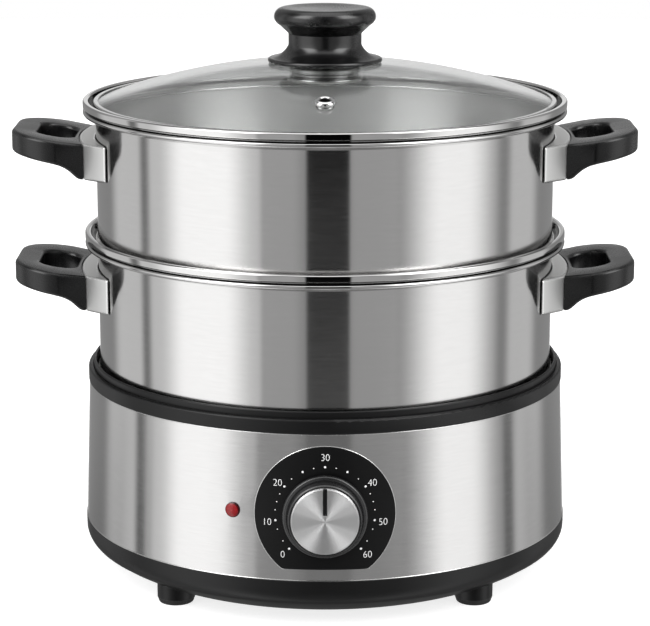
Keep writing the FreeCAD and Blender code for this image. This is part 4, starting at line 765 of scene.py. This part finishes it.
def skirt_rim():
    """The raised, sloping rim of the timer knob's skirt, turned about the knob's axis."""
    edge = knob_high.x + SKIRT_RIM_OUT
    face = knob_high.y - SKIRT_T
    section = [(edge - inwards * MM, face + behind * MM) for inwards, behind in SKIRT_RIM]
    rings = [[(r * math.cos(turn), y, DIAL_Z + r * math.sin(turn)) for r, y in section]
             for turn in turns(SKIRT_RIM_SIDES)]
    mesh = ring_mesh("timer_knob_rim", rings)
    new_piece("timer_knob_rim", mesh, SPECIAL["timer_knob"], "timer_dial")


def edge_bead(name, radius, z, thick, body):
    """A bright folded edge of sheet that runs round the pot."""
    section = [(radius + thick * math.cos(turn), z + thick * math.sin(turn))
               for turn in turns(BEAD_SIDES)]
    rings = [[(r * math.cos(turn), r * math.sin(turn), h) for r, h in section]
             for turn in turns(BEAD_STEPS)]
    mesh = ring_mesh(name, rings)
    new_piece(name, mesh, MATERIALS["polished_steel"], body)


dial_print()
plate_trim()
skirt_rim()
for tier in TIERS:
    bead_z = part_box(tier + "_tier_pan")[1].z - LEDGE_DROP - STOP_BEAD_DROP
    edge_bead(tier + "_stop_bead", TIER_R - STOP_BEAD_IN, bead_z, STOP_BEAD_T, tier + "_tier")
for edge_name, edge_z in (("band_top_edge", band_high.z - FOLD_T),
                          ("band_low_edge", band_low.z + FOLD_T)):
    edge_bead(edge_name, band_radius(edge_z), edge_z, FOLD_T, "base")


# ---- Studio --------------------------------------------------------------------------------
def room_walls(t, azimuth, aside, low):
    level = WALL_LEVEL
    leaning = t.times(azimuth, t.mix(low, 1.0, t.remap(aside, LEAN_SPAN, LEAN_SCALE)))
    for centre, half, soft, bright in PANELS:
        away = t.apart(leaning if abs(centre) < UPRIGHT_FROM else azimuth, centre)
        away = t.math("MINIMUM", away, t.minus(360.0, away))
        level = t.mix(t.within(away, half, soft), level, bright)
    shade = t.remap(aside, LOW_SHADE_SPAN, (LOW_SHADE, 1.0))
    level = t.times(level, t.mix(low, 1.0, shade))
    centre, half, soft, dark = LOW_STAND
    shade = t.remap(aside, LOW_FILL_SPAN, (1.0, LOW_FILL_SHADE))
    shade = t.mix(t.within(t.apart(aside, centre), half, soft), shade, dark)
    return t.times(level, t.mix(low, 1.0, shade))


def screen_and_table(t, level, azimuth, height, low):
    centre, half, soft = SCREEN
    edge = t.mix(low, soft / 2, LOW_SCREEN_EDGE)
    inside = t.fade(t.apart(azimuth, centre), (t.plus(edge, half), t.minus(half, edge)))
    screen = t.fade(height, TABLE_FADE, (SCREEN_LEVEL, TABLE_LEVEL))
    screen = t.mix(t.fade(height, TABLE_NEAR_FADE), screen, TABLE_NEAR_LEVEL)
    return t.mix(inside, level, screen)


def far_end(t, level, behind, height):
    far = t.times(t.fade(behind, FAR_SIDE_FADE), t.fade(height, FAR_FOOT_FADE))
    level = t.mix(far, level, FAR_LEVEL)
    strip = t.times(t.fade(height, STRIP_TOP_FADE), t.fade(height, STRIP_FOOT_FADE))
    strip = t.times(t.fade(behind, STRIP_SIDE_FADE), strip)
    return t.mix(strip, level, t.fade(height, STRIP_CHANGE, STRIP_LEVELS))


def boxes_above(t, level, azimuth, behind, height):
    level = t.mix(t.fade(height, WALL_TOP_FADE), level, DIM_LEVEL)
    tall = t.times(t.fade(height, HIGH_FOOT_FADE), t.fade(height, HIGH_TOP_FADE))
    for centre, half, soft in HIGH_BOXES:
        inside = t.within(t.apart(azimuth, centre), half, soft)
        level = t.mix(t.times(inside, tall), level, HIGH_LEVEL)
    far_box = t.times(t.fade(behind, FAR_SIDE_FADE), t.fade(height, FAR_BOX_FADE))
    level = t.mix(far_box, level, FAR_BOX_LEVEL)
    return t.mix(t.fade(height, OVERHEAD_FADE), level, OVERHEAD_LEVEL)


def studio_world():
    """The room round the pot; seen straight or through clear glass it is plain white."""
    world = bpy.data.worlds.new("studio")
    world.use_nodes = True
    bpy.context.scene.world = world
    t = Tree(world.node_tree)
    x, y, z = t.parts(t.add("ShaderNodeTexCoord").outputs["Generated"])
    azimuth = t.times(t.math("ARCTAN2", x, t.times(y, -1.0)), math.degrees(1))
    height = t.times(t.math("ARCSINE", z), math.degrees(1))
    low = t.fade(height, LOW_FADE)
    aside = t.math("ABSOLUTE", azimuth)
    behind = t.minus(180.0, aside)
    level = room_walls(t, azimuth, aside, low)
    level = screen_and_table(t, level, azimuth, height, low)
    level = far_end(t, level, behind, height)
    level = boxes_above(t, level, azimuth, behind, height)
    path = t.add("ShaderNodeLightPath").outputs
    straight = t.math("LESS_THAN", path["Glossy Depth"], 0.5)      # no mirror on the way
    through = t.times(path["Is Transmission Ray"], straight)
    seen = t.math("MAXIMUM", path["Is Camera Ray"], through)
    back = t.add("ShaderNodeBackground")
    t.link(t.mix(seen, level, 1.0), back.inputs["Strength"])
    back.inputs["Color"].default_value = (1, 1, 1, 1)
    end = t.add("ShaderNodeOutputWorld")
    t.link(back.outputs[0], end.inputs["Surface"])


def print_light():
    """A soft lamp in front that matt surfaces see and mirrors don't."""
    data = bpy.data.lights.new("front_fill", "AREA")
    data.shape = "RECTANGLE"
    data.size, data.size_y = FILL_SIZE
    data.energy = FILL_POWER
    lamp = bpy.data.objects.new("front_fill", data)
    lamp.location = FILL_PLACE
    lamp.rotation_euler = (FILL_AIM - FILL_PLACE).to_track_quat("-Z", "Y").to_euler()
    bpy.context.scene.collection.objects.link(lamp)
    lamp.visible_glossy = False
    lamp.visible_transmission = False


def pale_floor():
    mesh = bpy.data.meshes.new("studio_floor")
    half = FLOOR_SIZE / 2
    corners = [(-half, -half, 0), (half, -half, 0), (half, half, 0), (-half, half, 0)]
    mesh.from_pydata(corners, [], [(0, 1, 2, 3)])
    floor = bpy.data.objects.new("studio_floor", mesh)
    bpy.context.scene.collection.objects.link(floor)
    material = bpy.data.materials.new("studio_floor")
    material.use_nodes = True
    t = Tree(material.node_tree)
    paint = t.add("ShaderNodeBsdfDiffuse")
    paint.inputs["Color"].default_value = FLOOR_COLOUR
    glow = t.add("ShaderNodeEmission")
    path = t.add("ShaderNodeLightPath").outputs
    seen = t.math("MAXIMUM", path["Is Camera Ray"], path["Is Transmission Ray"])
    t.link(t.times(seen, FLOOR_GLOW), glow.inputs["Strength"])
    both = t.add("ShaderNodeAddShader")
    end = t.add("ShaderNodeOutputMaterial")
    t.link(paint.outputs[0], both.inputs[0])
    t.link(glow.outputs[0], both.inputs[1])
    t.link(both.outputs[0], end.inputs["Surface"])
    mesh.materials.append(material)
    floor.visible_glossy = False


def camera():
    data = bpy.data.cameras.new("camera")
    data.sensor_width = CAMERA_SENSOR
    data.lens = CAMERA_LENS
    data.clip_start = CAMERA_CLIP
    place = bpy.data.objects.new("camera", data)
    place.location = CAMERA_PLACE
    place.rotation_euler = (CAMERA_PITCH, 0, 0)
    bpy.context.scene.collection.objects.link(place)
    bpy.context.scene.camera = place


studio_world()
print_light()
pale_floor()
camera()
bpy.context.scene.view_settings.view_transform = "Standard"
